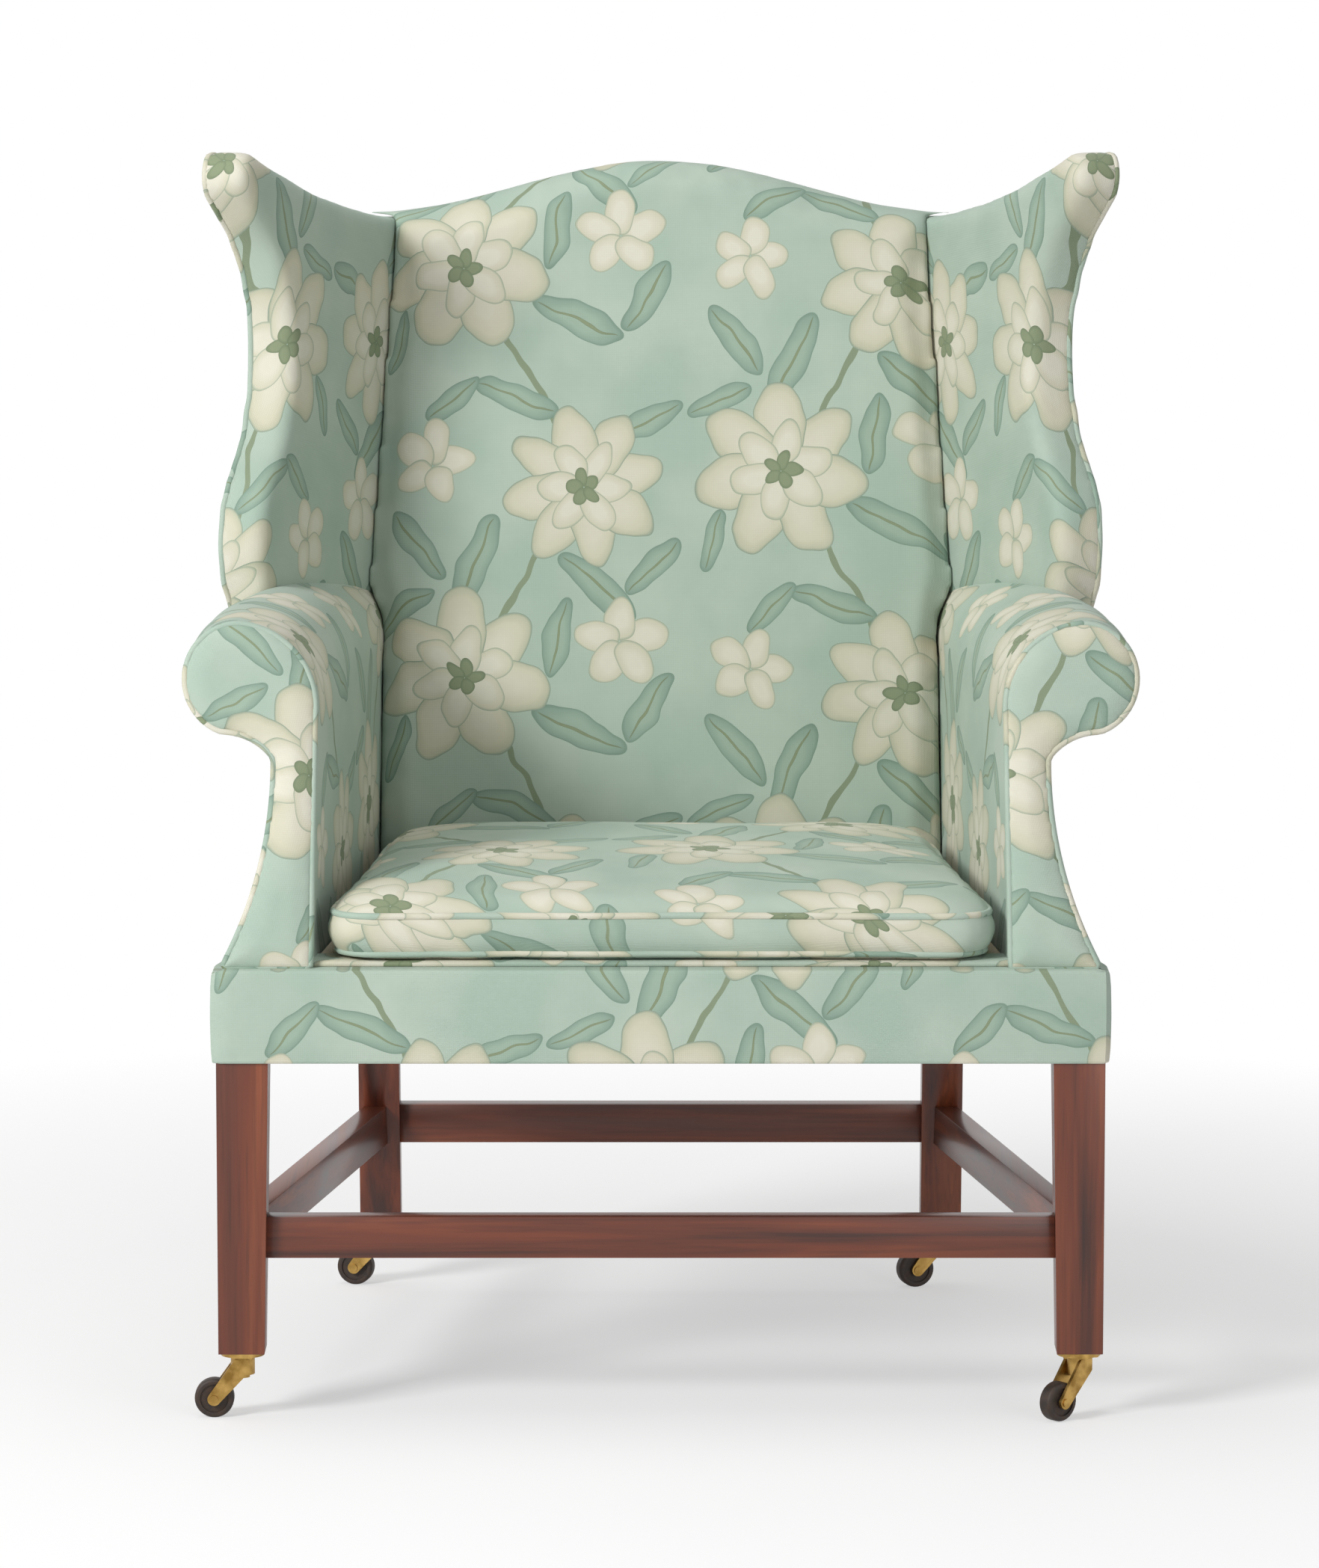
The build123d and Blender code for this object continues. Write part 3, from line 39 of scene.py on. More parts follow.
FRONT_Y = -0.353568         # the front of the seat rail in the shared frame
RAIL_TOP = 0.413            # the seat rail's top, where the back plane starts
RAKE = math.radians(10.0)   # how far the back leans
BACK_DEPTH = 0.556          # the back plane's depth at the rail's top
STILE_THICK = 0.034
FLARE = math.radians(22.0)  # how far the wings open
MERGE = 1e-5                # points nearer than this are one
FLAT = 1e-4                 # points nearer than this to a plane lie in it
FEWEST_STEPS = 8            # along the shortest path
SMOOTHING = 0.5             # the strength of a smoothing pass
HEM_ANGLE = 50.0            # degrees: edges of a flat sheet that are sharper stay sharp
FOLD_ANGLE = 60.0           # degrees: the same for folded bands and the arms
WAVE_RATE = 10              # a wave texture of scale s repeats every pi / (10 s) metres
RIB_LONG, RIB_WIDE = 0.92, 0.09     # a woven leaf's midrib, of the leaf's length and width

X, Y, UP = Vector((1, 0, 0)), Vector((0, 1, 0)), Vector((0, 0, 1))
BACK_UP = Vector((0, math.sin(RAKE), math.cos(RAKE)))
BACK_OUT = Vector((0, -math.cos(RAKE), math.sin(RAKE)))
BACK_FOOT = Vector((0, FRONT_Y + BACK_DEPTH, RAIL_TOP))

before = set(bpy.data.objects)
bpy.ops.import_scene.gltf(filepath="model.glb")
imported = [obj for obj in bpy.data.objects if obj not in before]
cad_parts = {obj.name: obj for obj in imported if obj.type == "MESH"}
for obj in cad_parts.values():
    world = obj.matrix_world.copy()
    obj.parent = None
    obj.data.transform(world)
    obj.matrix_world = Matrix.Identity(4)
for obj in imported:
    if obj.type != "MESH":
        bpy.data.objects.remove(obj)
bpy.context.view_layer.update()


class Side(Enum):
    """The two sides of the chair, with the sign of their X."""

    LEFT = -1
    RIGHT = 1

    @property
    def word(self) -> str:
        """The side as it stands in the node names.

        Returns:
            "left" or "right".
        """
        return self.name.lower()


def deep(depth: float) -> float:
    """The Y coordinate of a depth.

    Args:
        depth: distance behind the front of the seat rail, in metres.

    Returns:
        Y in the shared frame.
    """
    return FRONT_Y + depth


def clamp(value: float, low: float = 0.0, high: float = 1.0) -> float:
    """Keeps a number between two limits.

    Args:
        value: the number.
        low: the lower limit.
        high: the upper limit.

    Returns:
        The nearest number in the range.
    """
    return max(low, min(high, value))


def linear(colour: str, alpha: float = 1.0) -> tuple[float, float, float, float]:
    """Turns an sRGB hex colour into linear light.

    Args:
        colour: six hex digits.
        alpha: the fourth channel.

    Returns:
        Red, green, blue and alpha.
    """
    steps = [int(colour[i:i + 2], 16) / 255 for i in (0, 2, 4)]
    light = [c / 12.92 if c <= 0.04045 else ((c + 0.055) / 1.055) ** 2.4 for c in steps]
    return (*light, alpha)


def feed(tree: bpy.types.NodeTree, node: bpy.types.Node, feeds: dict[Any, Any]) -> None:
    """Sets or links the inputs of a node.

    Args:
        tree: the node tree.
        node: the node.
        feeds: input name or number to a value, or to the socket that feeds it.
    """
    for name, value in feeds.items():
        if isinstance(value, bpy.types.NodeSocket):
            tree.links.new(value, node.inputs[name])
        else:
            node.inputs[name].default_value = value


def add_node(tree: bpy.types.NodeTree, kind: str, feeds: dict[Any, Any] | None = None,
             **settings: Any) -> bpy.types.Node:
    """Adds a node with its settings and its inputs.

    Args:
        tree: the material's or world's node tree.
        kind: the node's type.
        feeds: input name or number to a value, or to the socket that feeds it.
        settings: properties of the node.

    Returns:
        The new node.
    """
    node = tree.nodes.new(kind)
    for name, value in settings.items():
        setattr(node, name, value)
    feed(tree, node, feeds or {})
    return node


def ramp(tree: bpy.types.NodeTree, factor: bpy.types.NodeSocket,
         stops: Sequence[tuple[float, str]]) -> bpy.types.NodeSocket:
    """Adds a colour ramp.

    Args:
        tree: the node tree.
        factor: what runs along the ramp.
        stops: positions with their hex colours, at least two.

    Returns:
        The ramp's colour.
    """
    node = add_node(tree, "ShaderNodeValToRGB", {"Fac": factor})
    elements = node.color_ramp.elements
    while len(elements) < len(stops):
        elements.new(0.5)
    for element, (place, colour) in zip(elements, stops):
        element.position = place
        element.color = linear(colour)
    return node.outputs["Color"]


class Sum(Enum):
    """The two kinds of node that calculate."""

    NUMBER = "ShaderNodeMath"
    VECTOR = "ShaderNodeVectorMath"


def calc(tree: bpy.types.NodeTree, kind: Sum, operation: str, *values: Any) -> bpy.types.NodeSocket:
    """Adds one step of arithmetic.

    Args:
        tree: the node tree.
        kind: numbers or vectors.
        operation: what is done.
        values: numbers, vectors or sockets, in their order.

    Returns:
        The result.
    """
    return add_node(tree, kind.value, dict(enumerate(values)), operation=operation).outputs[0]


def remap(tree: bpy.types.NodeTree, value: bpy.types.NodeSocket, into: tuple[float, float],
          out_of: tuple[float, float] = (0.0, 1.0)) -> bpy.types.NodeSocket:
    """Maps one range onto another.

    Args:
        tree: the node tree.
        value: what is mapped.
        into: the range that comes out.
        out_of: the range that goes in.

    Returns:
        The mapped value.
    """
    return add_node(tree, "ShaderNodeMapRange", {
        "Value": value, "From Min": out_of[0], "From Max": out_of[1],
        "To Min": into[0], "To Max": into[1]}).outputs[0]


def threads(tree: bpy.types.NodeTree, place: bpy.types.NodeSocket, pitch: float,
            uneven: dict[str, float]) -> bpy.types.NodeSocket:
    """The threads of a weave, warp over weft.

    Args:
        tree: the node tree.
        place: the place on the cloth.
        pitch: from thread to thread, in metres.
        uneven: the wave's inputs that make the threads uneven.

    Returns:
        Height from 0 to 1.
    """
    scale = math.pi / (WAVE_RATE * pitch)
    rows = [add_node(tree, "ShaderNodeTexWave", {"Vector": place, "Scale": scale, **uneven},
                     bands_direction=axis).outputs["Fac"] for axis in ("X", "Y")]
    return calc(tree, Sum.NUMBER, "MULTIPLY", *rows)


def blank_material(name: str) -> tuple[bpy.types.Material, bpy.types.NodeTree, bpy.types.Node]:
    """Makes a material with one shader.

    Args:
        name: the real material's name.

    Returns:
        The material, its tree and its Principled shader.
    """
    material = bpy.data.materials.new(name)
    material.use_nodes = True
    tree = material.node_tree
    return material, tree, tree.nodes["Principled BSDF"]


class Thread(Enum):
    """What a motif of the pattern is woven in: colour stops from its edge to its middle."""

    CREAM = (("7f9181", 0.025), ("b3b49c", 0.10), ("c4c1ab", 0.30), ("cbc8b6", 0.75))
    PALE = (("93a08c", 0.03), ("c3c0aa", 0.14), ("d0cdbd", 0.60))
    SAGE = (("6f8878", 0.03), ("82998a", 0.15), ("93a897", 0.55))
    OLIVE = (("6c7a5d", 0.05), ("7f8b6c", 0.40))


@dataclass(frozen=True)
class Motif:
    """One petal, leaf or stem of the pattern: an ellipse in the repeat, in metres and degrees."""

    x: float
    y: float
    turn: float
    length: float
    wide: float
    thread: Thread


def leaf(x: float, y: float, turn: float, length: float, wide: float) -> list[Motif]:
    """One leaf with its midrib.

    Args:
        x: middle across the repeat.
        y: middle up the repeat.
        turn: its direction, in degrees.
        length: half its length.
        wide: half its width.

    Returns:
        The leaf and its rib.
    """
    return [
        Motif(x, y, turn, length, wide, Thread.SAGE),
        Motif(x, y, turn, RIB_LONG * length, RIB_WIDE * wide, Thread.OLIVE),
    ]


def blossom(x: float, y: float, petals: int, reach: float, wide: float, start: float,
            thread: Thread) -> list[Motif]:
    """One ring of petals.

    Args:
        x: centre across the repeat.
        y: centre up the repeat.
        petals: how many.
        reach: from the centre to a petal's tip.
        wide: half a petal's width.
        start: turn of the first petal, in degrees.
        thread: what it is woven in.

    Returns:
        The petals.
    """
    made = []
    for i in range(petals):
        turn = start + 360 * i / petals
        angle, half = math.radians(turn), reach / 2
        across, up = x + half * math.cos(angle), y + half * math.sin(angle)
        made.append(Motif(across, up, turn, half, wide, thread))
    return made


@dataclass(frozen=True)
class SilkLampas:
    """Woven silk furnishing fabric, softly lustrous: cream flowers and sage leaves on celadon.

    The pattern is set as a half drop and wanders a little, and the ground is faintly clouded.
    """

    ground: str = "abbaac"
    shade: str = "9cb0a1"
    stem: str = "7d8b70"
    repeat_wide: float = 0.31
    repeat_high: float = 0.40
    half_drop: float = 0.5
    wander: float = 0.016
    wander_scale: float = 24.0
    sway: float = 0.040
    stem_half: float = 0.0032
    edge_soft: float = 0.005
    thread: float = 0.0011
    thread_tone: tuple[float, float] = (0.94, 1.05)
    thread_relief: float = 0.35
    thread_high: float = 0.0006
    cloud_scale: float = 9.0
    cloud_from: float = 0.35
    cloud_to: float = 0.62
    lustre: tuple[float, float] = (0.62, 0.8)
    sheen: float = 0.12
    sheen_rough: float = 0.4

    def motifs(self) -> list[Motif]:
        """Everything in one repeat, from the lowest layer to the highest.

        Returns:
            Leaves first, then the flowers.
        """
        leaves = [
            (-0.050, 0.012, 66, 0.050, 0.016), (-0.106, 0.030, 128, 0.044, 0.014),
            (0.070, -0.012, -40, 0.050, 0.016), (0.122, 0.010, 50, 0.038, 0.013),
            (0.030, -0.062, 80, 0.042, 0.014), (0.050, -0.150, -24, 0.052, 0.016),
            (0.118, -0.128, 58, 0.042, 0.014), (-0.122, -0.030, 24, 0.036, 0.012),
            (-0.010, 0.172, 160, 0.046, 0.014), (0.118, 0.150, 24, 0.038, 0.013),
            (-0.128, -0.165, 72, 0.032, 0.011), (-0.072, 0.170, 44, 0.034, 0.012),
        ]
        made = [part for spec in leaves for part in leaf(*spec)]
        made += blossom(0.056, 0.086, 8, 0.082, 0.022, 12, Thread.CREAM)
        made += blossom(0.056, 0.086, 6, 0.048, 0.014, 0, Thread.PALE)
        made += blossom(0.056, 0.086, 5, 0.018, 0.006, 30, Thread.OLIVE)
        made += blossom(-0.062, -0.098, 7, 0.088, 0.026, 40, Thread.CREAM)
        made += blossom(-0.062, -0.098, 6, 0.052, 0.016, 20, Thread.PALE)
        made += blossom(-0.062, -0.098, 5, 0.020, 0.007, 0, Thread.OLIVE)
        made += blossom(-0.092, 0.110, 5, 0.042, 0.015, 5, Thread.PALE)
        made += blossom(0.092, -0.066, 5, 0.046, 0.016, 20, Thread.PALE)
        return made

    def woven(self, tree: bpy.types.NodeTree, place: bpy.types.NodeSocket,
              colour: bpy.types.NodeSocket) -> bpy.types.NodeSocket:
        """Weaves every motif over the ground, one after the other.

        Args:
            tree: the node tree.
            place: the point in the repeat, in metres from its middle.
            colour: the ground.

        Returns:
            The cloth's colour.
        """
        for motif in self.motifs():
            local = add_node(tree, "ShaderNodeMapping", {
                "Vector": place, "Location": (motif.x, motif.y, 0),
                "Rotation": (0, 0, math.radians(motif.turn)), "Scale": (motif.length, motif.wide, 1),
            }, vector_type="TEXTURE")
            inside = add_node(tree, "ShaderNodeTexGradient", {"Vector": local.outputs[0]},
                              gradient_type="SPHERICAL")
            tint = add_node(tree, "ShaderNodeValToRGB", {"Fac": inside.outputs["Fac"]})
            stops = tint.color_ramp.elements
            (edge, first), *rest = motif.thread.value
            stops[0].position, stops[0].color = first, linear(edge, 0.0)
            stops[1].position, stops[1].color = first + self.edge_soft, linear(edge)
            for tone, depth in rest:
                stops.new(depth).color = linear(tone)
            colour = add_node(tree, "ShaderNodeMixRGB", {
                "Fac": tint.outputs["Alpha"], "Color1": colour, "Color2": tint.outputs["Color"]},
            ).outputs["Color"]
        return colour

    def repeat(self, tree: bpy.types.NodeTree, cloth: bpy.types.NodeSocket) -> bpy.types.NodeSocket:
        """Folds the cloth into one repeat of the pattern, set as a half drop.

        Args:
            tree: the node tree.
            cloth: the place on the cloth, in metres.

        Returns:
            The place in the repeat, in metres from its middle.
        """
        size = (self.repeat_wide, self.repeat_high, 1)
        wander = add_node(tree, "ShaderNodeTexNoise", {
            "Vector": cloth, "Scale": self.wander_scale, "Detail": 1.0}).outputs["Color"]
        drift = calc(tree, Sum.VECTOR, "MULTIPLY_ADD", wander, (self.wander, self.wander, 0), cloth)
        count = calc(tree, Sum.VECTOR, "DIVIDE", drift, size)
        cell = calc(tree, Sum.VECTOR, "FLOOR", count)
        column = add_node(tree, "ShaderNodeSeparateXYZ", {0: cell}).outputs["X"]
        drop = calc(tree, Sum.NUMBER, "MULTIPLY", column, self.half_drop)
        down = add_node(tree, "ShaderNodeCombineXYZ", {"Y": drop}).outputs[0]
        part = calc(tree, Sum.VECTOR, "FRACTION", calc(tree, Sum.VECTOR, "ADD", count, down))
        middle = calc(tree, Sum.VECTOR, "SUBTRACT", part, (0.5, 0.5, 0))
        return calc(tree, Sum.VECTOR, "MULTIPLY", middle, size)

    def vine(self, tree: bpy.types.NodeTree, place: bpy.types.NodeSocket) -> bpy.types.NodeSocket:
        """The wavy stem that runs up the repeat.

        Args:
            tree: the node tree.
            place: the place in the repeat.

        Returns:
            1 on the stem and 0 beside it.
        """
        across = add_node(tree, "ShaderNodeSeparateXYZ", {0: place}).outputs
        phase = calc(tree, Sum.NUMBER, "MULTIPLY", across["Y"], 2 * math.pi / self.repeat_high)
        wave = calc(tree, Sum.NUMBER, "SINE", phase)
        beside = calc(tree, Sum.NUMBER, "MULTIPLY_ADD", wave, -self.sway, across["X"])
        off = calc(tree, Sum.NUMBER, "ABSOLUTE", beside)
        return calc(tree, Sum.NUMBER, "LESS_THAN", off, self.stem_half)

    def material(self) -> bpy.types.Material:
        """Builds the material.

        Returns:
            The fabric.
        """
        material, tree, shader = blank_material("silk_lampas_celadon")
        cloth = add_node(tree, "ShaderNodeUVMap", uv_map=CLOTH_UV).outputs["UV"]
        place = self.repeat(tree, cloth)
        cloud = add_node(tree, "ShaderNodeTexNoise", {
            "Vector": cloth, "Scale": self.cloud_scale, "Detail": 3.0}).outputs["Fac"]
        ground = ramp(tree, cloud, [(self.cloud_from, self.shade), (self.cloud_to, self.ground)])
        stems = add_node(tree, "ShaderNodeMixRGB", {
            "Fac": self.vine(tree, place), "Color1": ground, "Color2": linear(self.stem)})
        colour = self.woven(tree, place, stems.outputs["Color"])
        weave = threads(tree, cloth, self.thread, {
            "Distortion": 0.6, "Detail": 1.0, "Detail Scale": 2.0})
        toned = add_node(tree, "ShaderNodeHueSaturation", {
            "Value": remap(tree, weave, self.thread_tone), "Color": colour})
        bump = add_node(tree, "ShaderNodeBump", {
            "Height": weave, "Strength": self.thread_relief, "Distance": self.thread_high})
        feed(tree, shader, {
            "Base Color": toned.outputs["Color"], "Normal": bump.outputs["Normal"],
            "Roughness": remap(tree, cloud, self.lustre),
            "Sheen Weight": self.sheen, "Sheen Roughness": self.sheen_rough,
        })
        return material


class Grain(Enum):
    """The axis that a member's grain runs along."""

    X = 0
    Y = 1
    Z = 2


@dataclass(frozen=True)
class Mahogany:
    """Polished old mahogany: dark red brown, long fine grain and a soft wax shine."""

    dark: str = "36150a"
    mid: str = "652c15"
    light: str = "8b4927"
    figure: float = 45.0
    pores: float = 260.0
    stretch: float = 0.035
    pore_from: tuple[float, float] = (0.3, 0.5)
    pore_tone: tuple[float, float] = (0.72, 1.0)
    pore_relief: float = 0.12
    pore_deep: float = 0.0004
    shine: tuple[float, float] = (0.28, 0.46)
    wax: float = 0.25
    wax_rough: float = 0.2

    def material(self, grain: Grain) -> bpy.types.Material:
        """Builds the material with its grain along one axis.

        Args:
            grain: the axis.

        Returns:
            The wood.
        """
        material, tree, shader = blank_material(f"mahogany_grain_{grain.name.lower()}")
        scale = [1.0, 1.0, 1.0]
        scale[grain.value] = self.stretch
        spot = add_node(tree, "ShaderNodeTexCoord").outputs["Object"]
        along = add_node(tree, "ShaderNodeMapping", {"Vector": spot, "Scale": scale}).outputs[0]
        figure = add_node(tree, "ShaderNodeTexNoise", {
            "Vector": along, "Scale": self.figure, "Detail": 5.0, "Distortion": 0.8}).outputs["Fac"]
        pores = add_node(tree, "ShaderNodeTexNoise", {
            "Vector": along, "Scale": self.pores, "Detail": 2.0}).outputs["Fac"]
        colour = ramp(tree, figure, [(0.3, self.dark), (0.52, self.mid), (0.75, self.light)])
        tinted = add_node(tree, "ShaderNodeHueSaturation", {
            "Color": colour, "Value": remap(tree, pores, self.pore_tone, self.pore_from)})
        bump = add_node(tree, "ShaderNodeBump", {
            "Height": pores, "Strength": self.pore_relief, "Distance": self.pore_deep})
        feed(tree, shader, {
            "Base Color": tinted.outputs["Color"], "Normal": bump.outputs["Normal"],
            "Roughness": remap(tree, figure, self.shine),
            "Coat Weight": self.wax, "Coat Roughness": self.wax_rough,
        })
        return material


@dataclass(frozen=True)
class Mottled:
    """A plain matt or metal finish with a mottled colour: brass, leather, beech, linen or jute."""

    name: str
    dark: str
    light: str
    scale: float
    smooth: float
    rough: float
    metal: float = 0.0
    bump: float = 0.2
    bump_high: float = 0.0005
    weave: float = 0.0

    def material(self) -> bpy.types.Material:
        """Builds the material.

        Returns:
            The finish.
        """
        material, tree, shader = blank_material(self.name)
        spot = add_node(tree, "ShaderNodeTexCoord").outputs["Object"]
        cloud = add_node(tree, "ShaderNodeTexNoise", {
            "Vector": spot, "Scale": self.scale, "Detail": 5.0}).outputs["Fac"]
        height = threads(tree, spot, self.weave, {"Distortion": 0.8}) if self.weave else cloud
        bump = add_node(tree, "ShaderNodeBump", {
            "Height": height, "Strength": self.bump, "Distance": self.bump_high})
        feed(tree, shader, {
            "Base Color": ramp(tree, cloud, [(0.35, self.dark), (0.65, self.light)]),
            "Normal": bump.outputs["Normal"],
            "Roughness": remap(tree, cloud, (self.smooth, self.rough)),
            "Metallic": self.metal,
        })
        return material


# Aged brass: a warm yellow metal that is browner in its clouds and worn smooth between them.
BRASS = Mottled("aged_brass", "8a6a34", "c29f5e", 70.0, 0.24, 0.5, metal=1.0, bump=0.1)
# Stacked leather: nearly black and matt, a little lighter where it rolls.
WHEEL_LEATHER = Mottled("wheel_leather", "1c130d", "37261a", 160.0, 0.5, 0.75)
# Sawn beech: pale, plain and without any finish.
BEECH = Mottled("frame_beech", "a98960", "c9ab80", 30.0, 0.55, 0.75)
# Unbleached linen: off-white and matt, its plain weave just seen.
LINEN = Mottled("upholstery_linen", "b9ad94", "cdc3ac", 14.0, 0.85, 0.95, weave=0.0016, bump=0.4)
# Jute webbing: coarse, brown and matt.
JUTE = Mottled("jute_webbing", "8f744c", "b29468", 20.0, 0.85, 0.95, weave=0.003, bump=0.5)
# Dust cambric: thin black cotton, greyed by dust.
BLACK_CAMBRIC = Mottled("dust_cambric", "2b2926", "3a3733", 20.0, 0.85, 0.95, weave=0.0012, bump=0.3)


def pick_only(piece: bpy.types.Object) -> None:
    """Selects one object and makes it the active one.

    Args:
        piece: the object.
    """
    bpy.ops.object.select_all(action="DESELECT")
    piece.select_set(True)
    bpy.context.view_layer.objects.active = piece


def apply_modifier(piece: bpy.types.Object, kind: str, **settings: Any) -> None:
    """Adds a modifier and applies it.

    Args:
        piece: the object.
        kind: the modifier's type.
        settings: its properties.
    """
    pick_only(piece)
    modifier = piece.modifiers.new(kind.lower(), kind)
    for name, value in settings.items():
        setattr(modifier, name, value)
    bpy.ops.object.modifier_apply(modifier=modifier.name)


@contextmanager
def editing(piece: bpy.types.Object) -> Iterator[None]:
    """Opens a piece in edit mode with all of its mesh selected, and closes it again.

    Args:
        piece: the object.

    Yields:
        Once, while the piece is open.
    """
    pick_only(piece)
    bpy.ops.object.mode_set(mode="EDIT")
    bpy.ops.mesh.select_all(action="SELECT")
    yield
    bpy.ops.object.mode_set(mode="OBJECT")


def clean_mesh(piece: bpy.types.Object) -> None:
    """Merges double points and turns the faces outwards.

    Args:
        piece: the object.
    """
    with editing(piece):
        bpy.ops.mesh.remove_doubles(threshold=MERGE)
        bpy.ops.mesh.normals_make_consistent(inside=False)


def dress(piece: bpy.types.Object, material: bpy.types.Material) -> None:
    """Gives an object one material.

    Args:
        piece: the object.
        material: what it is made of.
    """
    piece.data.materials.clear()
    piece.data.materials.append(material)


def copy_nodes(name: str, *nodes: str) -> bpy.types.Object:
    """Makes a new piece from copies of CAD nodes.

    Args:
        name: the piece's name.
        nodes: the CAD nodes.

    Returns:
        The piece, its points merged and without materials.
    """
    copies = []
    for node in nodes:
        copy = bpy.data.objects.new(name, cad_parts[node].data.copy())
        bpy.context.scene.collection.objects.link(copy)
        copy.data.materials.clear()
        copies.append(copy)
    pick_only(copies[0])
    for copy in copies:
        copy.select_set(True)
    if len(copies) > 1:
        bpy.ops.object.join()
    piece = copies[0]
    clean_mesh(piece)
    return piece


def grid_piece(name: str, across: int, along: int, shape: Callable[[float, float], Vector],
               flat: Callable[[float, float], tuple[float, float]]) -> bpy.types.Object:
    """Shapes a primitive grid point by point and lays its cloth map.

    Args:
        name: the piece's name.
        across: cells along the first way.
        along: cells along the second way.
        shape: place of a point from its two fractions.
        flat: place on the cloth from the same fractions, in metres.

    Returns:
        The piece.
    """
    bpy.ops.object.select_all(action="DESELECT")
    bpy.ops.mesh.primitive_grid_add(x_subdivisions=across, y_subdivisions=along, size=1)
    piece = bpy.context.object
    piece.name = name
    mesh = piece.data
    parts = [(v.co.x + 0.5, v.co.y + 0.5) for v in mesh.vertices]
    for vertex, part in zip(mesh.vertices, parts):
        vertex.co = shape(*part)
    layer = mesh.uv_layers[0]
    layer.name = CLOTH_UV
    for loop in mesh.loops:
        layer.data[loop.index].uv = flat(*parts[loop.vertex_index])
    return piece


def lay_cloth(piece: bpy.types.Object, across: Vector, up: Vector) -> None:
    """Lays the cloth map in metres along two slanting directions, so that it runs on round edges.

    Args:
        piece: the object.
        across: the cloth's direction across.
        up: the cloth's direction up.
    """
    mesh = piece.data
    layer = mesh.uv_layers.get(CLOTH_UV) or mesh.uv_layers.new(name=CLOTH_UV)
    for loop in mesh.loops:
        spot = mesh.vertices[loop.vertex_index].co
        layer.data[loop.index].uv = (spot.dot(across), spot.dot(up))


def ruffle(piece: bpy.types.Object, height: float, size: float) -> None:
    """Moves the points in and out a little, as stuffing does under its cover.

    Args:
        piece: the object.
        height: the largest movement.
        size: the size of the swells.
    """
    moves = [v.normal * noise.noise(v.co / size) * height for v in piece.data.vertices]
    for vertex, move in zip(piece.data.vertices, moves):
        vertex.co += move


def smooth_shade(piece: bpy.types.Object, angle: float = 180.0) -> None:
    """Shades smooth.

    Args:
        piece: the object.
        angle: edges sharper than this stay sharp, in degrees.
    """
    pick_only(piece)
    if angle >= 180.0:
        bpy.ops.object.shade_smooth()
    else:
        bpy.ops.object.shade_smooth_by_angle(angle=math.radians(angle))


def finish_piece(piece: bpy.types.Object, material: bpy.types.Material, body: str,
                 nodes: Sequence[str]) -> None:
    """Gives a piece its material and its place in the frame.

    Args:
        piece: the object.
        material: what it is made of.
        body: the body that it moves with.
        nodes: the CAD nodes that it stands for.
    """
    dress(piece, material)
    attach(piece, body)
    if nodes:
        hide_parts(*nodes)
    LOG.info("%s: %d faces on %s", piece.name, len(piece.data.polygons), body)


def flat_outline(node: str, look: Vector) -> list[Vector]:
    """The outline of a CAD node's outermost flat face.

    Args:
        node: the CAD node.
        look: the face's outward normal.

    Returns:
        The points in order, closed.
    """
    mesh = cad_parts[node].data
    far = max(v.co.dot(look) for v in mesh.vertices)
    key = {v.index: tuple(round(c, 5) for c in v.co) for v in mesh.vertices}
    sides: dict[tuple, int] = {}
    for face in mesh.polygons:
        spots = [mesh.vertices[i].co for i in face.vertices]
        if all(far - s.dot(look) < FLAT for s in spots):
            ring = [key[i] for i in face.vertices]
            for a, b in zip(ring, ring[1:] + ring[:1]):
                sides[(a, b)] = 1
    follow = {a: b for a, b in sides if (b, a) not in sides}
    start = next(iter(follow))
    path, spot = [start], follow[start]
    while spot != start and spot in follow and len(path) <= len(follow):
        path.append(spot)
        spot = follow[spot]
    return [Vector(p) for p in path]


def even_path(path: Sequence[Vector], step: float, closed: bool) -> list[Vector]:
    """Spaces points evenly along a path.

    Args:
        path: the points.
        step: the spacing.
        closed: whether the last point joins the first.

    Returns:
        The new points.
    """
    points = list(path) + ([path[0]] if closed else [])
    lengths = [0.0]
    for a, b in zip(points, points[1:]):
        lengths.append(lengths[-1] + (b - a).length)
    count = max(FEWEST_STEPS, round(lengths[-1] / step))
    made, k = [], 0
    for i in range(count if closed else count + 1):
        want = lengths[-1] * i / count
        while k < len(points) - 2 and lengths[k + 1] < want:
            k += 1
        run = lengths[k + 1] - lengths[k]
        made.append(points[k].lerp(points[k + 1], (want - lengths[k]) / run if run else 0.0))
    return made


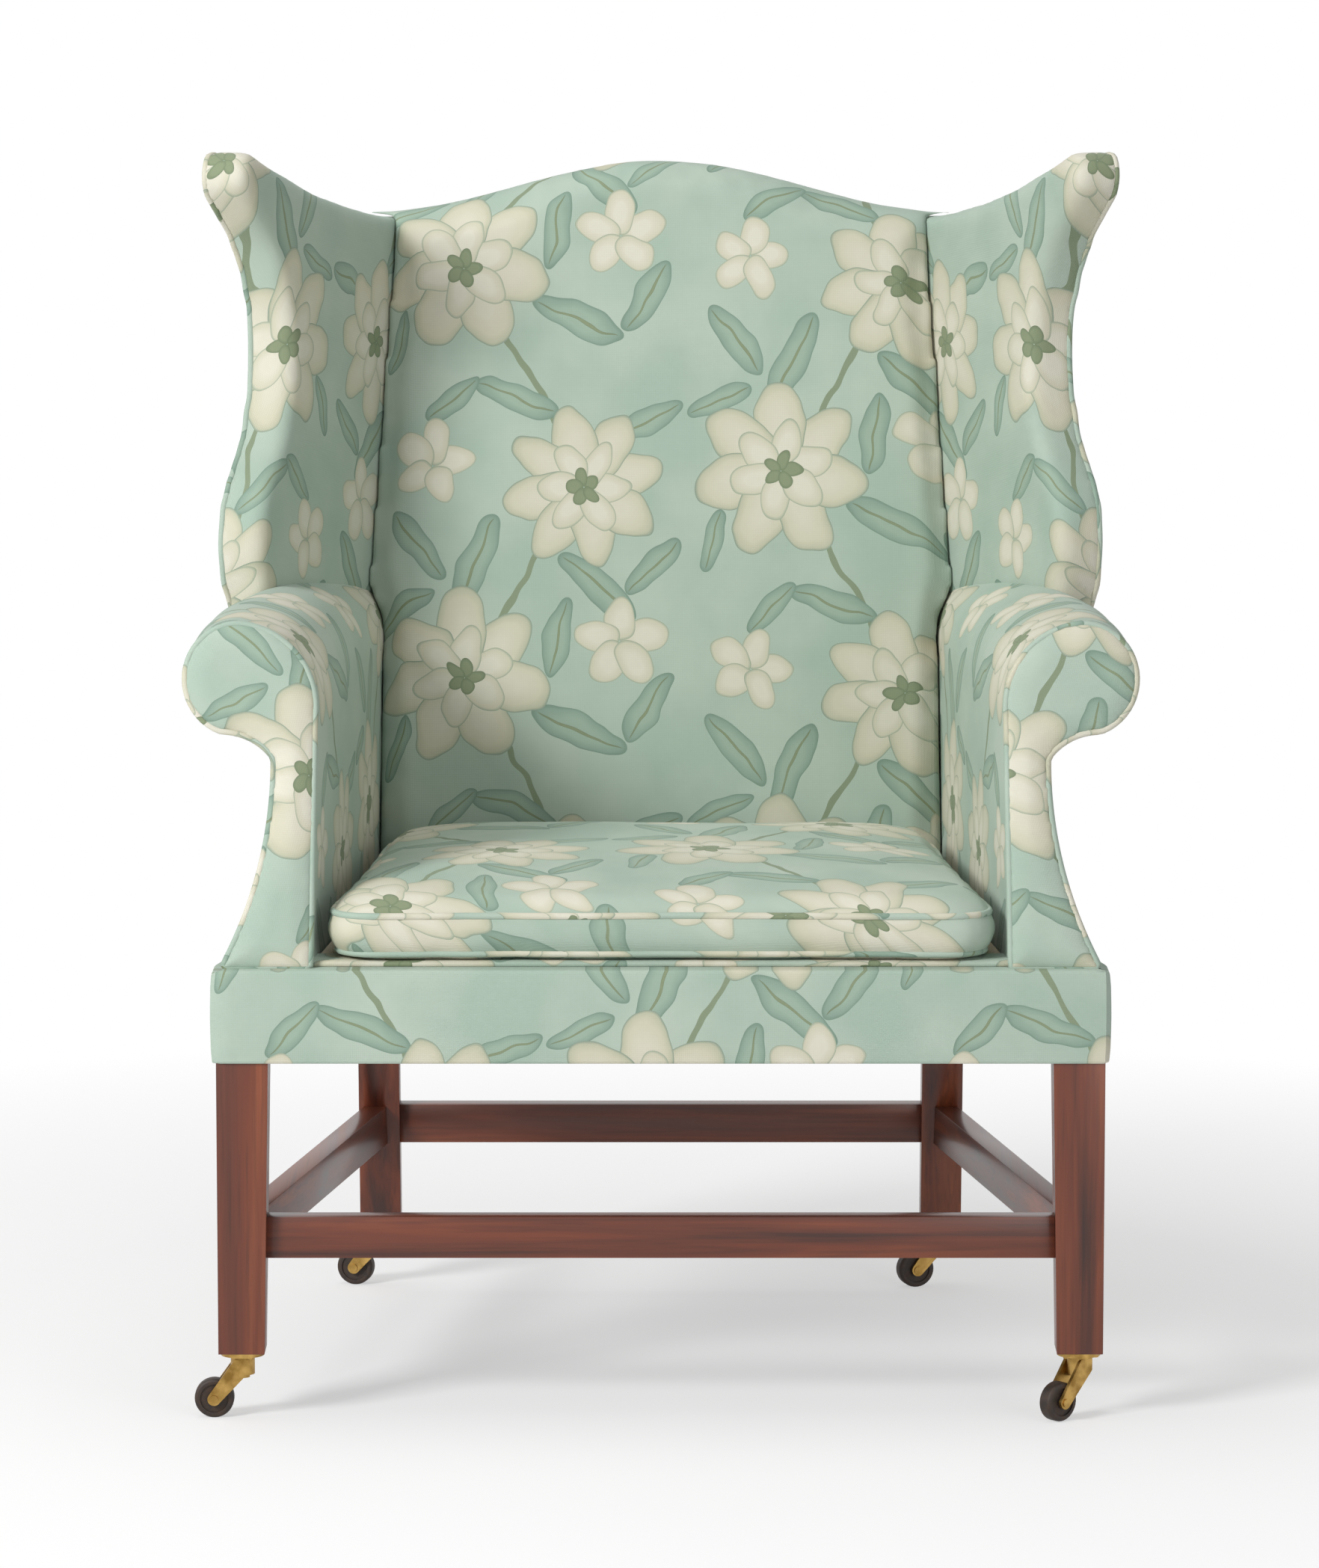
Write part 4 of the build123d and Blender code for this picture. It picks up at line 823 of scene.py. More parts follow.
@dataclass(frozen=True)
class Welt:
    """A cord covered in the chair's fabric, sewn into a seam."""

    radius: float = 0.0032
    step: float = 0.006
    roundness: int = 2
    slant: float = 0.5

    def make(self, name: str, path: Sequence[Vector], closed: bool, material: bpy.types.Material,
             body: str) -> bpy.types.Object:
        """Lays the cord along a seam.

        Args:
            name: the piece's name.
            path: the seam.
            closed: whether it runs round.
            material: its fabric.
            body: the body that it moves with.

        Returns:
            The piece.
        """
        spots = even_path(path, self.step, closed)
        curve = bpy.data.curves.new(name, "CURVE")
        curve.dimensions = "3D"
        curve.bevel_depth = self.radius
        curve.bevel_resolution = self.roundness
        curve.use_fill_caps = True
        spline = curve.splines.new("POLY")
        spline.points.add(len(spots) - 1)
        for point, spot in zip(spline.points, spots):
            point.co = (*spot, 1)
        spline.use_cyclic_u = closed
        piece = bpy.data.objects.new(name, curve)
        bpy.context.scene.collection.objects.link(piece)
        pick_only(piece)
        bpy.ops.object.convert(target="MESH")
        piece = bpy.context.object
        piece.name = name
        clean_mesh(piece)
        lay_cloth(piece, X + Y, UP + self.slant * Y)
        smooth_shade(piece)
        finish_piece(piece, material, body, ())
        return piece


def before_back(spot: Vector) -> float:
    """How far a place lies in front of the back plane.

    Args:
        spot: the place.

    Returns:
        The distance, below zero behind the plane.
    """
    return (spot - BACK_FOOT).dot(BACK_OUT)


def skin_of(*pieces: bpy.types.Object) -> BVHTree:
    """The skin of some objects, to measure distances from and to cast rays at.

    Args:
        pieces: the objects.

    Returns:
        The search tree.
    """
    spots: list[Vector] = []
    faces: list[list[int]] = []
    for piece in pieces:
        start = len(spots)
        spots += [v.co.copy() for v in piece.data.vertices]
        faces += [[start + i for i in face.vertices] for face in piece.data.polygons]
    return BVHTree.FromPolygons(spots, faces)


@dataclass
class StuffedPiece:
    """A stuffed piece made from CAD solids: remeshed, swollen under its cover and smoothed."""

    name: str
    nodes: tuple[str, ...]
    relax: int
    cell: float = 0.005
    pressure: float = 4.0
    frames_run: int = 20
    quality: int = 4

    def skin(self) -> bpy.types.Object:
        """Copies the solids and gives them one even skin.

        Returns:
            The piece.
        """
        piece = copy_nodes(self.name, *self.nodes)
        apply_modifier(piece, "REMESH", mode="VOXEL", voxel_size=self.cell)
        apply_modifier(piece, "SMOOTH", iterations=self.relax, factor=SMOOTHING)
        return piece

    def inflate(self, piece: bpy.types.Object, limit: Callable[[Vector, Vector], Vector]) -> None:
        """Swells the piece with a cloth simulation.

        Args:
            piece: the object.
            limit: keeps a point's new place in bounds, from its old and its new place.
        """
        before = [v.co.copy() for v in piece.data.vertices]
        pick_only(piece)
        cloth = piece.modifiers.new("cloth", "CLOTH")
        cloth.settings.use_pressure = True
        cloth.settings.uniform_pressure_force = self.pressure
        cloth.settings.effector_weights.gravity = 0.0
        cloth.settings.quality = self.quality
        cloth.point_cache.frame_end = self.frames_run
        for frame in range(1, self.frames_run + 1):
            bpy.context.scene.frame_set(frame)
        bpy.ops.object.modifier_apply(modifier=cloth.name)
        for vertex, old in zip(piece.data.vertices, before):
            vertex.co = limit(old, vertex.co)
        bpy.context.scene.frame_set(1)


@dataclass
class Back:
    """The stuffed inside back and the flat outside back."""

    fabric: bpy.types.Material
    relax: int = 10
    crown: float = 0.011        # how far the stuffing may swell
    smooth: int = 6
    ruffle_high: float = 0.0012
    ruffle_size: float = 0.07
    slant: tuple[float, float] = (0.5, -0.8)
    half: float = 0.3015        # half the outside back's width
    low: float = 0.008          # its lower edge, up the back plane
    rear: float = STILE_THICK + 0.0035
    cover: float = 0.0026
    flange: float = 0.0415      # its edges turned forwards round the stiles
    belly: float = 0.004
    seam_down: float = 0.001    # the seam lies this far below the crest
    cells: tuple[int, int] = (134, 110)
    cut_high: float = 0.699     # the sheet's height at the hump
    mean_high: float = 0.677    # and on average
    crest_from: float = 0.6     # every outline point above this is on the crest
    crest: list[tuple[float, float]] = field(init=False)

    def __post_init__(self) -> None:
        """Reads the crest's line."""
        self.crest = self.crest_line()

    def crest_line(self) -> list[tuple[float, float]]:
        """Reads the serpentine top from the outside back.

        Returns:
            (x, height up the back) from left to right.
        """
        outline = flat_outline("outside_back_cover", -BACK_OUT)
        flat = [((p - BACK_FOOT).x, (p - BACK_FOOT).dot(BACK_UP)) for p in outline]
        return sorted(p for p in flat if p[1] > self.crest_from)

    def top_at(self, x: float) -> float:
        """The crest's height.

        Args:
            x: across the chair.

        Returns:
            Height up the back plane.
        """
        for (x0, v0), (x1, v1) in zip(self.crest, self.crest[1:]):
            if x0 <= x <= x1:
                return v0 + (v1 - v0) * ((x - x0) / (x1 - x0) if x1 > x0 else 0)
        return self.crest[0][1]

    def spot(self, x: float, up: float, forward: float) -> Vector:
        """A place on or beside the back plane.

        Args:
            x: across.
            up: up the plane.
            forward: in front of it.

        Returns:
            The place.
        """
        return Vector((x, deep(BACK_DEPTH), RAIL_TOP)) + BACK_UP * up + BACK_OUT * forward

    def inside(self) -> None:
        """Builds the stuffed back."""
        form = StuffedPiece("inside_back", ("back_pad",), relax=self.relax)
        piece = form.skin()

        def limit(old: Vector, new: Vector) -> Vector:
            """Lets the face crown forwards and holds the edges."""
            return old + BACK_OUT * clamp((new - old).dot(BACK_OUT), high=self.crown)

        form.inflate(piece, limit)
        apply_modifier(piece, "SMOOTH", iterations=self.smooth, factor=SMOOTHING)
        ruffle(piece, self.ruffle_high, self.ruffle_size)
        lay_cloth(piece, X + self.slant[0] * BACK_OUT, BACK_UP + self.slant[1] * BACK_OUT)
        smooth_shade(piece)
        finish_piece(piece, self.fabric, "chair", ("back_pad",))

    def outside(self) -> None:
        """Builds the outside back with its turned edges and the welt round it."""
        wide = 2 * self.half + 2 * self.flange

        def across(s: float) -> tuple[float, float]:
            """The place across and how far the edge is turned forwards, from the fraction across."""
            run = s * wide
            if run < self.flange:
                return -self.half, self.flange - run
            if run > wide - self.flange:
                return self.half, run - (wide - self.flange)
            return run - self.flange - self.half, 0.0

        def shape(s: float, t: float) -> Vector:
            """The place of a point; the turned edges end level with the middle."""
            x, turned = across(s)
            top = self.top_at(x) - self.seam_down
            level = self.low - turned * math.tan(RAKE)
            up = level + (top - level) * t
            belly = self.belly * math.cos(math.pi * x / (2 * self.half)) * math.sin(math.pi * t)
            return self.spot(x, up, turned - self.rear - belly)

        def flat(s: float, t: float) -> tuple[float, float]:
            """The place on the cloth."""
            x, _ = across(s)
            return s * wide, self.low + (self.top_at(x) - self.low) * t

        piece = grid_piece("outside_back", *self.cells, shape, flat)
        apply_modifier(piece, "SOLIDIFY", thickness=self.cover, offset=-1.0)
        clean_mesh(piece)
        smooth_shade(piece, HEM_ANGLE)
        finish_piece(piece, self.fabric, "chair", ("outside_back_cover",))
        seam = [self.spot(x, up - self.seam_down, -self.rear) for x, up in self.crest]
        ends = [self.spot(x, self.low, -self.rear) for x in (self.half, -self.half)]
        Welt().make("outside_back_welt", seam + ends, True, self.fabric, "chair")


@dataclass
class Wing:
    """One wing: a stuffed slab with its ear, welted along its outer edge."""

    side: Side
    fabric: bpy.types.Material
    relax: int = 10
    ruffle_high: float = 0.0012
    ruffle_size: float = 0.06
    slant: tuple[float, float] = (0.9, 0.4)
    tuck: float = 0.012         # how deep the foot and the rear edge are tucked in
    near: float = 0.006         # where a point is this near to the arm or to the back plane
    fade: float = 0.008         # and less and less over this distance
    cap: float = 0.020          # above the stile the rear edge goes this much further back
    cap_in: float = 0.014       # and this far inwards
    cap_from: float = 0.615     # from this height up the back
    cap_rise: float = 0.020     # in full after this much more
    welt_step: float = 0.004
    welt_clear: float = 0.004
    welt_ease: int = 3

    @property
    def forward(self) -> Vector:
        """The direction along the wing, away from the back."""
        return Vector((self.side.value * math.sin(FLARE), -math.cos(FLARE), 0))

    @property
    def outward(self) -> Vector:
        """The direction that its outside faces."""
        return Vector((self.side.value * math.cos(FLARE), math.sin(FLARE), 0))

    def tuck_in(self, piece: bpy.types.Object, arm: BVHTree) -> None:
        """Tucks the wing's foot into the arm and its rear edge in behind the outside back.

        Above the stile the rear edge goes further back and closes the stile's top.

        Args:
            piece: the wing.
            arm: the arm's skin.
        """
        for vertex in piece.data.vertices:
            foot = (arm.find_nearest(vertex.co)[3] - self.near) / self.fade
            rear = clamp(1 - (before_back(vertex.co) - self.near) / self.fade)
            height = (vertex.co.z - RAIL_TOP) / math.cos(RAKE)
            tall = clamp((height - self.cap_from) / self.cap_rise)
            vertex.co -= UP * self.tuck * clamp(1 - foot)
            vertex.co -= BACK_OUT * (self.tuck + self.cap * tall) * rear
            vertex.co -= X * self.side.value * self.cap_in * tall * rear

    def seam(self, node: str, arm: BVHTree, skin: BVHTree) -> list[Vector]:
        """The welt's run, from the foot up the front edge and over the ear to the back.

        Args:
            node: the outside cover's node.
            arm: the arm's skin.
            skin: the wing's skin, which the welt lies on.

        Returns:
            The points in order.
        """
        ring = even_path(flat_outline(node, self.outward), self.welt_step, True)
        clear = self.welt_clear
        free = [arm.find_nearest(p)[3] > clear and before_back(p) > clear for p in ring]
        runs, run = [], []
        for k in range(2 * len(ring)):
            if free[k % len(ring)]:
                run.append(ring[k % len(ring)])
            else:
                runs.append(run)
                run = []
        path = [skin.find_nearest(p)[0] for p in max(runs, key=len)]
        for _ in range(self.welt_ease):
            inner = [(a + 2 * b + c) / 4 for a, b, c in zip(path, path[1:], path[2:])]
            path = path[:1] + inner + path[-1:]
        return path

    def build(self) -> None:
        """Builds the wing and its welt."""
        word = self.side.word
        nodes = (f"wing_pad_{word}", f"outside_wing_cover_{word}")
        arm_nodes = (f"arm_pad_{word}", f"outside_arm_cover_{word}")
        arm = skin_of(*(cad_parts[node] for node in arm_nodes))
        piece = StuffedPiece(f"wing_{word}", nodes, relax=self.relax).skin()
        self.tuck_in(piece, arm)
        ruffle(piece, self.ruffle_high, self.ruffle_size)
        out = self.outward
        lay_cloth(piece, self.forward + self.slant[0] * out, UP + self.slant[1] * out)
        smooth_shade(piece)
        finish_piece(piece, self.fabric, "chair", nodes)
        seam = self.seam(nodes[1], arm, skin_of(piece))
        Welt().make(f"wing_welt_{word}", seam, False, self.fabric, "chair")


@dataclass(frozen=True)
class ArmSection:
    """The arm's section at one depth."""

    depth: float
    inner: float
    roll_x: float
    roll_z: float
    roll: float
    waist: float
    base: float
    shoulder: float


ARM_SECTIONS = (
    ArmSection(-0.030, 0.3205, 0.376, 0.674, 0.047, 0.356, 0.405, 0.20),
    ArmSection(0.400, 0.2844, 0.352, 0.680, 0.045, 0.322, 0.333, 0.20),
    ArmSection(0.660, 0.2626, 0.272, 0.690, 0.026, 0.297, 0.299, 0.12),
)


@dataclass
class Arm:
    """One outward rolled arm, its stuffed facing and the welts between them."""

    side: Side
    fabric: bpy.types.Material
    lean: float = math.tan(math.radians(10.8))      # how far the front leans back
    front: float = 0.010
    low: float = 0.4138
    shoulder_z: float = 0.640
    waist_z: float = 0.604
    roll_end: float = math.radians(70)
    under_bulge: float = -0.12      # below the roll, of the chord
    side_bulge: float = -0.06       # down the outside
    rows: int = 60
    counts: tuple[int, ...] = (30, 20, 46, 14, 34, 10)      # points on each run of the section
    settle: int = 3             # rounds to find a point's depth
    tuck: float = 0.004         # how far the arm runs in behind the back plane
    ruffle_high: float = 0.0012
    ruffle_size: float = 0.07
    facing: float = 0.0094      # the facing's thickness
    facing_cell: float = 0.003
    facing_relax: int = 6
    facing_slant: tuple[float, float] = (0.7, 0.3)
    faces_front: float = 0.3    # points that look forwards by more than this are puffed
    puff: float = 0.005
    puff_reach: float = 0.022
    edge: float = 0.003         # the welt lies this far behind the facing's front
    edge_step: float = 0.004

    def section(self, depth: float) -> ArmSection:
        """The section at a depth, between the three that are known.

        Args:
            depth: behind the front of the seat rail.

        Returns:
            The section.
        """
        depths = [s.depth for s in ARM_SECTIONS]
        weights = []
        for i, d in enumerate(depths):
            others = [o for j, o in enumerate(depths) if j != i]
            weights.append(math.prod((depth - o) / (d - o) for o in others))
        return ArmSection(*(
            sum(w * getattr(s, f.name) for w, s in zip(weights, ARM_SECTIONS))
            for f in fields(ArmSection)))

    @staticmethod
    def arc(start: Vector, end: Vector, bulge: float, count: int) -> list[Vector]:
        """Points on an arc that stands off its chord.

        Args:
            start: first point, in the section's plane.
            end: last point, left out.
            bulge: the height over the chord, of its length, to the left of the run.
            count: how many points.

        Returns:
            The points.
        """
        run = end - start
        left = Vector((-run.y, run.x)) * bulge
        steps = [i / count for i in range(count)]
        return [start + run * t + left * (4 * t * (1 - t)) for t in steps]

    def ring(self, s: ArmSection) -> list[Vector]:
        """The section's outline.

        Args:
            s: the section.

        Returns:
            (x, z) points from the foot of the inside face, over the roll, down and back below.
        """
        n_in, n_shoulder, n_roll, n_under, n_out, n_low = self.counts

        def rolled(angle: float) -> Vector:
            """A point on the roll."""
            return Vector((s.roll_x + s.roll * math.cos(angle), s.roll_z + s.roll * math.sin(angle)))

        low, side = Vector((s.inner, self.low)), Vector((s.inner, self.shoulder_z))
        top, under = Vector((s.roll_x, s.roll_z + s.roll)), rolled(-self.roll_end)
        neck, foot = Vector((s.waist, self.waist_z)), Vector((s.base, self.low))
        points = self.arc(low, side, 0.0, n_in) + self.arc(side, top, s.shoulder, n_shoulder)
        sweep = math.pi / 2 + self.roll_end
        points += [rolled(math.pi / 2 - sweep * i / n_roll) for i in range(n_roll)]
        points += self.arc(under, neck, self.under_bulge, n_under)
        points += self.arc(neck, foot, self.side_bulge, n_out)
        return points + self.arc(foot, low, 0.0, n_low)

    def spot(self, part: int, along: float) -> Vector:
        """A point of the arm's skin.

        Args:
            part: which point of the section.
            along: 0 behind the facing to 1 at the back.

        Returns:
            The place.
        """
        depth = self.front
        for _ in range(self.settle):
            flat = self.ring(self.section(depth))[part]
            start = self.front + (flat.y - RAIL_TOP) * self.lean + self.facing
            end = BACK_DEPTH + self.tuck + (flat.y - RAIL_TOP) * math.tan(RAKE)
            depth = start + (end - start) * along
        return Vector((self.side.value * flat.x, deep(depth), flat.y))

    def body(self) -> None:
        """Builds the stuffed arm."""
        total = sum(self.counts)
        places = {}
        for i in range(total):
            for j in range(self.rows + 1):
                places[i, j] = self.spot(i, j / self.rows)
        lengths = [0.0]
        for i in range(total):
            step = (places[(i + 1) % total, self.rows // 2] - places[i, self.rows // 2]).length
            lengths.append(lengths[-1] + step)

        def shape(s: float, t: float) -> Vector:
            """The place of a point."""
            return places[round(s * total) % total, round(t * self.rows)]

        def flat(s: float, t: float) -> tuple[float, float]:
            """The place on the cloth, which runs along the arm and round it."""
            return shape(s, t).y, lengths[round(s * total)]

        word = self.side.word
        piece = grid_piece(f"arm_{word}", total, self.rows, shape, flat)
        with editing(piece):
            bpy.ops.mesh.remove_doubles(threshold=MERGE)
            bpy.ops.mesh.select_all(action="DESELECT")
            bpy.ops.mesh.select_non_manifold()
            bpy.ops.mesh.fill_holes(sides=0)
            bpy.ops.mesh.select_all(action="SELECT")
            bpy.ops.mesh.normals_make_consistent(inside=False)
        ruffle(piece, self.ruffle_high, self.ruffle_size)
        smooth_shade(piece, FOLD_ANGLE)
        nodes = (f"arm_pad_{word}", f"outside_arm_cover_{word}")
        finish_piece(piece, self.fabric, "chair", nodes)

    def face(self) -> None:
        """Builds the stuffed facing on the arm's front and the welt round it."""
        word = self.side.word
        node = f"arm_facing_{word}"
        form = StuffedPiece(f"facing_{word}", (node,), relax=self.facing_relax, cell=self.facing_cell)
        piece = form.skin()
        lean = math.atan(self.lean)
        look = Vector((0, -math.cos(lean), math.sin(lean)))
        outline = even_path(flat_outline(node, look), self.edge_step, True)
        for vertex in piece.data.vertices:
            edge = min((vertex.co - p).length for p in outline)
            lift = min(1.0, edge / self.puff_reach)
            if vertex.normal.dot(look) > self.faces_front:
                vertex.co += look * self.puff * math.sin(lift * math.pi / 2)
        lay_cloth(piece, X + self.facing_slant[0] * Y, UP + self.facing_slant[1] * Y)
        smooth_shade(piece)
        finish_piece(piece, self.fabric, "chair", (node,))
        outline = [p - look * self.edge for p in outline]
        Welt().make(f"facing_welt_{word}", outline, True, self.fabric, "chair")


# The rail cover's section: out from the rail in thicknesses, and up it from 0 to 1. It bulges over
# the rail, and its last two points are the underside of the turn over the rail's top.
RAIL_PROFILE = (
    (-1.0, 0.0), (-0.45, 0.0), (-0.1, 0.006), (0.05, 0.03), (0.35, 0.15), (0.5, 0.35),
    (0.55, 0.5), (0.5, 0.65), (0.35, 0.85), (0.05, 0.97), (-0.1, 0.994), (-0.45, 1.0),
    (-8.0, 1.0), (-8.0, 0.997), (-1.0, 0.997),
)


@dataclass(frozen=True)
class RailCover:
    """The fabric band round the seat rails."""

    half_front: float = 0.406
    half_rear: float = 0.3015
    leg_back: float = 0.0505
    post_front: float = 0.549
    rear: float = 0.5955
    corner: float = 0.004
    step: float = 0.010
    low: float = 0.3310
    high: float = 0.4134
    front_high: float = 0.4166
    thick: float = 0.0031

    def path(self) -> list[Vector]:
        """The band's plan, outside.

        Returns:
            The corners, anticlockwise from the front left.
        """
        right = [
            (self.half_front, 0.0), (self.half_front, self.leg_back),
            (self.half_rear, self.post_front), (self.half_rear, self.rear),
        ]
        left = [(-x, d) for x, d in right]
        corners = left[:1] + right + left[:0:-1]
        points = []
        for k, (x, d) in enumerate(corners):
            here = Vector((x, deep(d), 0))
            for other in (corners[k - 1], corners[(k + 1) % len(corners)]):
                near = Vector((other[0], deep(other[1]), 0)) - here
                points.append(here + near.normalized() * self.corner)
        return points

    def build(self, fabric: bpy.types.Material) -> None:
        """Builds the band.

        Args:
            fabric: the cover.
        """
        path = even_path(self.path(), self.step, True)
        count, rows = len(path), len(RAIL_PROFILE)
        run = sum((b - a).length for a, b in zip(path, path[1:] + path[:1]))

        def shape(s: float, t: float) -> Vector:
            """The place of a point, a little higher along the front."""
            i, j = round(s * count) % count, round(t * rows) % rows
            ahead = path[(i + 1) % count] - path[i - 1]
            out = Vector((ahead.y, -ahead.x, 0)).normalized()
            off, rise = RAIL_PROFILE[j]
            top = self.front_high if path[i].y < deep(self.thick) else self.high
            return path[i] + out * (off * self.thick) + UP * (self.low + (top - self.low) * rise)

        def flat(s: float, t: float) -> tuple[float, float]:
            """The place on the cloth."""
            return s * run, shape(s, t).z

        piece = grid_piece("rail_cover", count, rows, shape, flat)
        clean_mesh(piece)
        smooth_shade(piece, FOLD_ANGLE)
        nodes = ("front_rail_cover", "side_rail_cover_left", "side_rail_cover_right",
                 "rear_rail_cover")
        finish_piece(piece, fabric, "chair", nodes)


@dataclass(frozen=True)
class Seat:
    """The linen deck, the dust cover below and the loose cushion."""

    deck_z: float = 0.4214
    deck_front: float = 0.314       # half its width in front and behind
    deck_rear: float = 0.271
    deck_near: float = 0.022
    deck_far: float = 0.499
    deck_thick: float = 0.004
    deck_cells: tuple[int, int] = (60, 48)
    deck_cloth: tuple[float, float] = (0.6, 0.5)
    deck_area: float = 0.279
    lip_half: float = 0.319
    lip_near: float = 0.020
    lip_low: float = 0.4168
    lip_high: float = 0.4219
    lip_deep: float = 0.045
    lip_thick: float = 0.0004
    lip_cells: int = 80
    lip_cut: float = 0.05
    dust_sharp: float = 40.0
    dust_flat: tuple[float, float] = (0.805, 0.5885)
    dust_area: float = 0.395
    cell: float = 0.006             # the cushion
    relax: int = 4
    smooth: int = 4
    rest: float = 0.0006            # it rests this far above the deck
    side_room: float = 0.004        # how far it may swell sideways
    crown: float = 0.010            # and upwards
    ruffle_high: float = 0.0016
    ruffle_size: float = 0.09
    slant: tuple[float, float] = (0.7, 0.9)
    welts: tuple[tuple[str, float], ...] = (("top", 0.4635), ("bottom", 0.4285))
    welt_points: int = 240

    def deck(self, linen: bpy.types.Material) -> None:
        """Builds the linen deck under the cushion.

        Args:
            linen: its cloth.
        """
        long = self.deck_far - self.deck_near

        def shape(s: float, t: float) -> Vector:
            """The place of a point; the deck tapers to the back."""
            half = self.deck_front + (self.deck_rear - self.deck_front) * t
            return Vector((half * (2 * s - 1), deep(self.deck_near + long * t), self.deck_z))

        def flat(s: float, t: float) -> tuple[float, float]:
            """The place on the cloth."""
            return s * self.deck_cloth[0], t * self.deck_cloth[1]

        piece = grid_piece("linen_deck", *self.deck_cells, shape, flat)
        apply_modifier(piece, "SOLIDIFY", thickness=self.deck_thick, offset=-1.0)
        clean_mesh(piece)
        smooth_shade(piece, HEM_ANGLE)
        finish_piece(piece, linen, "chair", ("seat_deck",))

    def lip(self, fabric: bpy.types.Material) -> None:
        """Builds the strip of fabric along the deck's front edge.

        Args:
            fabric: the cover.
        """
        near, far = self.lip_near, self.lip_near + self.lip_deep
        low, high, under = self.lip_low, self.lip_high, self.lip_high - self.lip_thick
        profile = [
            (near + 0.001, low), (near, low + 0.001), (near, high - 0.002), (near + 0.002, high),
            (far, high), (far, under), (near + 0.003, under),
        ]
        rows = len(profile)

        def shape(s: float, t: float) -> Vector:
            """The place of a point."""
            depth, z = profile[round(t * rows) % rows]
            return Vector((self.lip_half * (2 * s - 1), deep(depth), z))

        def flat(s: float, t: float) -> tuple[float, float]:
            """The place on the cloth, which runs up the lip and back."""
            spot = shape(s, t)
            return s * 2 * self.lip_half, spot.y + spot.z

        piece = grid_piece("deck_lip", self.lip_cells, rows, shape, flat)
        clean_mesh(piece)
        smooth_shade(piece, FOLD_ANGLE)
        finish_piece(piece, fabric, "chair", ())

    def dust(self, cambric: bpy.types.Material) -> None:
        """Builds the dust cover under the seat frame.

        Args:
            cambric: its cloth.
        """
        piece = copy_nodes("dust_sheet", "dust_cover")
        smooth_shade(piece, self.dust_sharp)
        finish_piece(piece, cambric, "chair", ("dust_cover",))

    def cushion(self, fabric: bpy.types.Material) -> None:
        """Builds the loose cushion and its two welts.

        Args:
            fabric: its cover.
        """
        form = StuffedPiece("cushion", ("seat_cushion",), relax=self.relax, cell=self.cell)
        piece = form.skin()
        low = self.deck_z + self.rest

        def limit(old: Vector, new: Vector) -> Vector:
            """Lets the top crown and keeps the sides clear of the arms."""
            move = new - old
            flat = Vector((move.x, move.y, 0))
            if flat.length > self.side_room:
                flat = flat.normalized() * self.side_room
            spot = old + flat + UP * clamp(move.z, -self.crown, self.crown)
            spot.z = max(low, spot.z)
            return spot

        form.inflate(piece, limit)
        apply_modifier(piece, "SMOOTH", iterations=self.smooth, factor=SMOOTHING)
        ruffle(piece, self.ruffle_high, self.ruffle_size)
        for vertex in piece.data.vertices:
            vertex.co.z = max(low, vertex.co.z)
        lay_cloth(piece, X + self.slant[0] * UP, Y + self.slant[1] * UP)
        smooth_shade(piece)
        finish_piece(piece, fabric, "cushion", ("seat_cushion",))
        skin = skin_of(piece)
        middle = deep((self.deck_near + self.deck_far) / 2)
        for word, height in self.welts:
            start, seam = Vector((0, middle, height)), []
            for i in range(self.welt_points):
                angle = 2 * math.pi * i / self.welt_points
                hit = skin.ray_cast(start, Vector((math.cos(angle), math.sin(angle), 0)))[0]
                if hit:
                    seam.append(hit)
            Welt().make(f"cushion_welt_{word}", seam, True, fabric, "cushion")


@dataclass(frozen=True)
class WoodFrame:
    """The show wood: legs and stretchers with their edges eased, and the hidden beech frame."""

    ease: float = 0.0016
    ease_steps: int = 2
    ease_angle: float = 40.0    # degrees: edges sharper than this are eased
    flat_angle: float = 1.0     # faces that differ by less become one
    shade_angle: float = 35.0
    legs: tuple[str, ...] = (
        "front_leg_left", "front_leg_right", "rear_post_left", "rear_post_right")
    crosswise: tuple[str, ...] = ("front_stretcher", "rear_stretcher")
    lengthwise: tuple[str, ...] = ("side_stretcher_left", "side_stretcher_right")
    hidden: tuple[str, ...] = (
        "front_seat_rail", "rear_seat_rail", "side_seat_rail_left", "side_seat_rail_right",
        "crest_rail", "back_stay_rail", "arm_rail_left", "arm_rail_right", "arm_stump_left",
        "arm_stump_right", "wing_post_left", "wing_post_right", "wing_rail_left",
        "wing_rail_right", "seat_corner_blocks",
    )
    straps: tuple[str, ...] = ("seat_webbing", "back_webbing")

    def build(self) -> None:
        """Dresses the frame."""
        wood = Mahogany()
        show = ((Grain.Z, self.legs), (Grain.X, self.crosswise), (Grain.Y, self.lengthwise))
        for grain, nodes in show:
            material = wood.material(grain)
            for node in nodes:
                self.eased(node, material)
        inner = {"joint_pegs": wood.material(Grain.Z)}
        inner.update(dict.fromkeys(self.hidden, BEECH.material()))
        inner.update(dict.fromkeys(self.straps, JUTE.material()))
        for node, material in inner.items():
            dress(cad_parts[node], material)
            LOG.info("%s: %s", node, material.name)

    def eased(self, node: str, material: bpy.types.Material) -> None:
        """Makes a copy of a wooden member with its sharp edges eased.

        Args:
            node: the CAD node.
            material: its wood.
        """
        piece = copy_nodes(f"{node}_eased", node)
        with editing(piece):
            bpy.ops.mesh.dissolve_limited(angle_limit=math.radians(self.flat_angle))
        apply_modifier(piece, "BEVEL", width=self.ease, segments=self.ease_steps,
                       limit_method="ANGLE", angle_limit=math.radians(self.ease_angle),
                       use_clamp_overlap=True)
        smooth_shade(piece, self.shade_angle)
        finish_piece(piece, material, "chair", (node,))


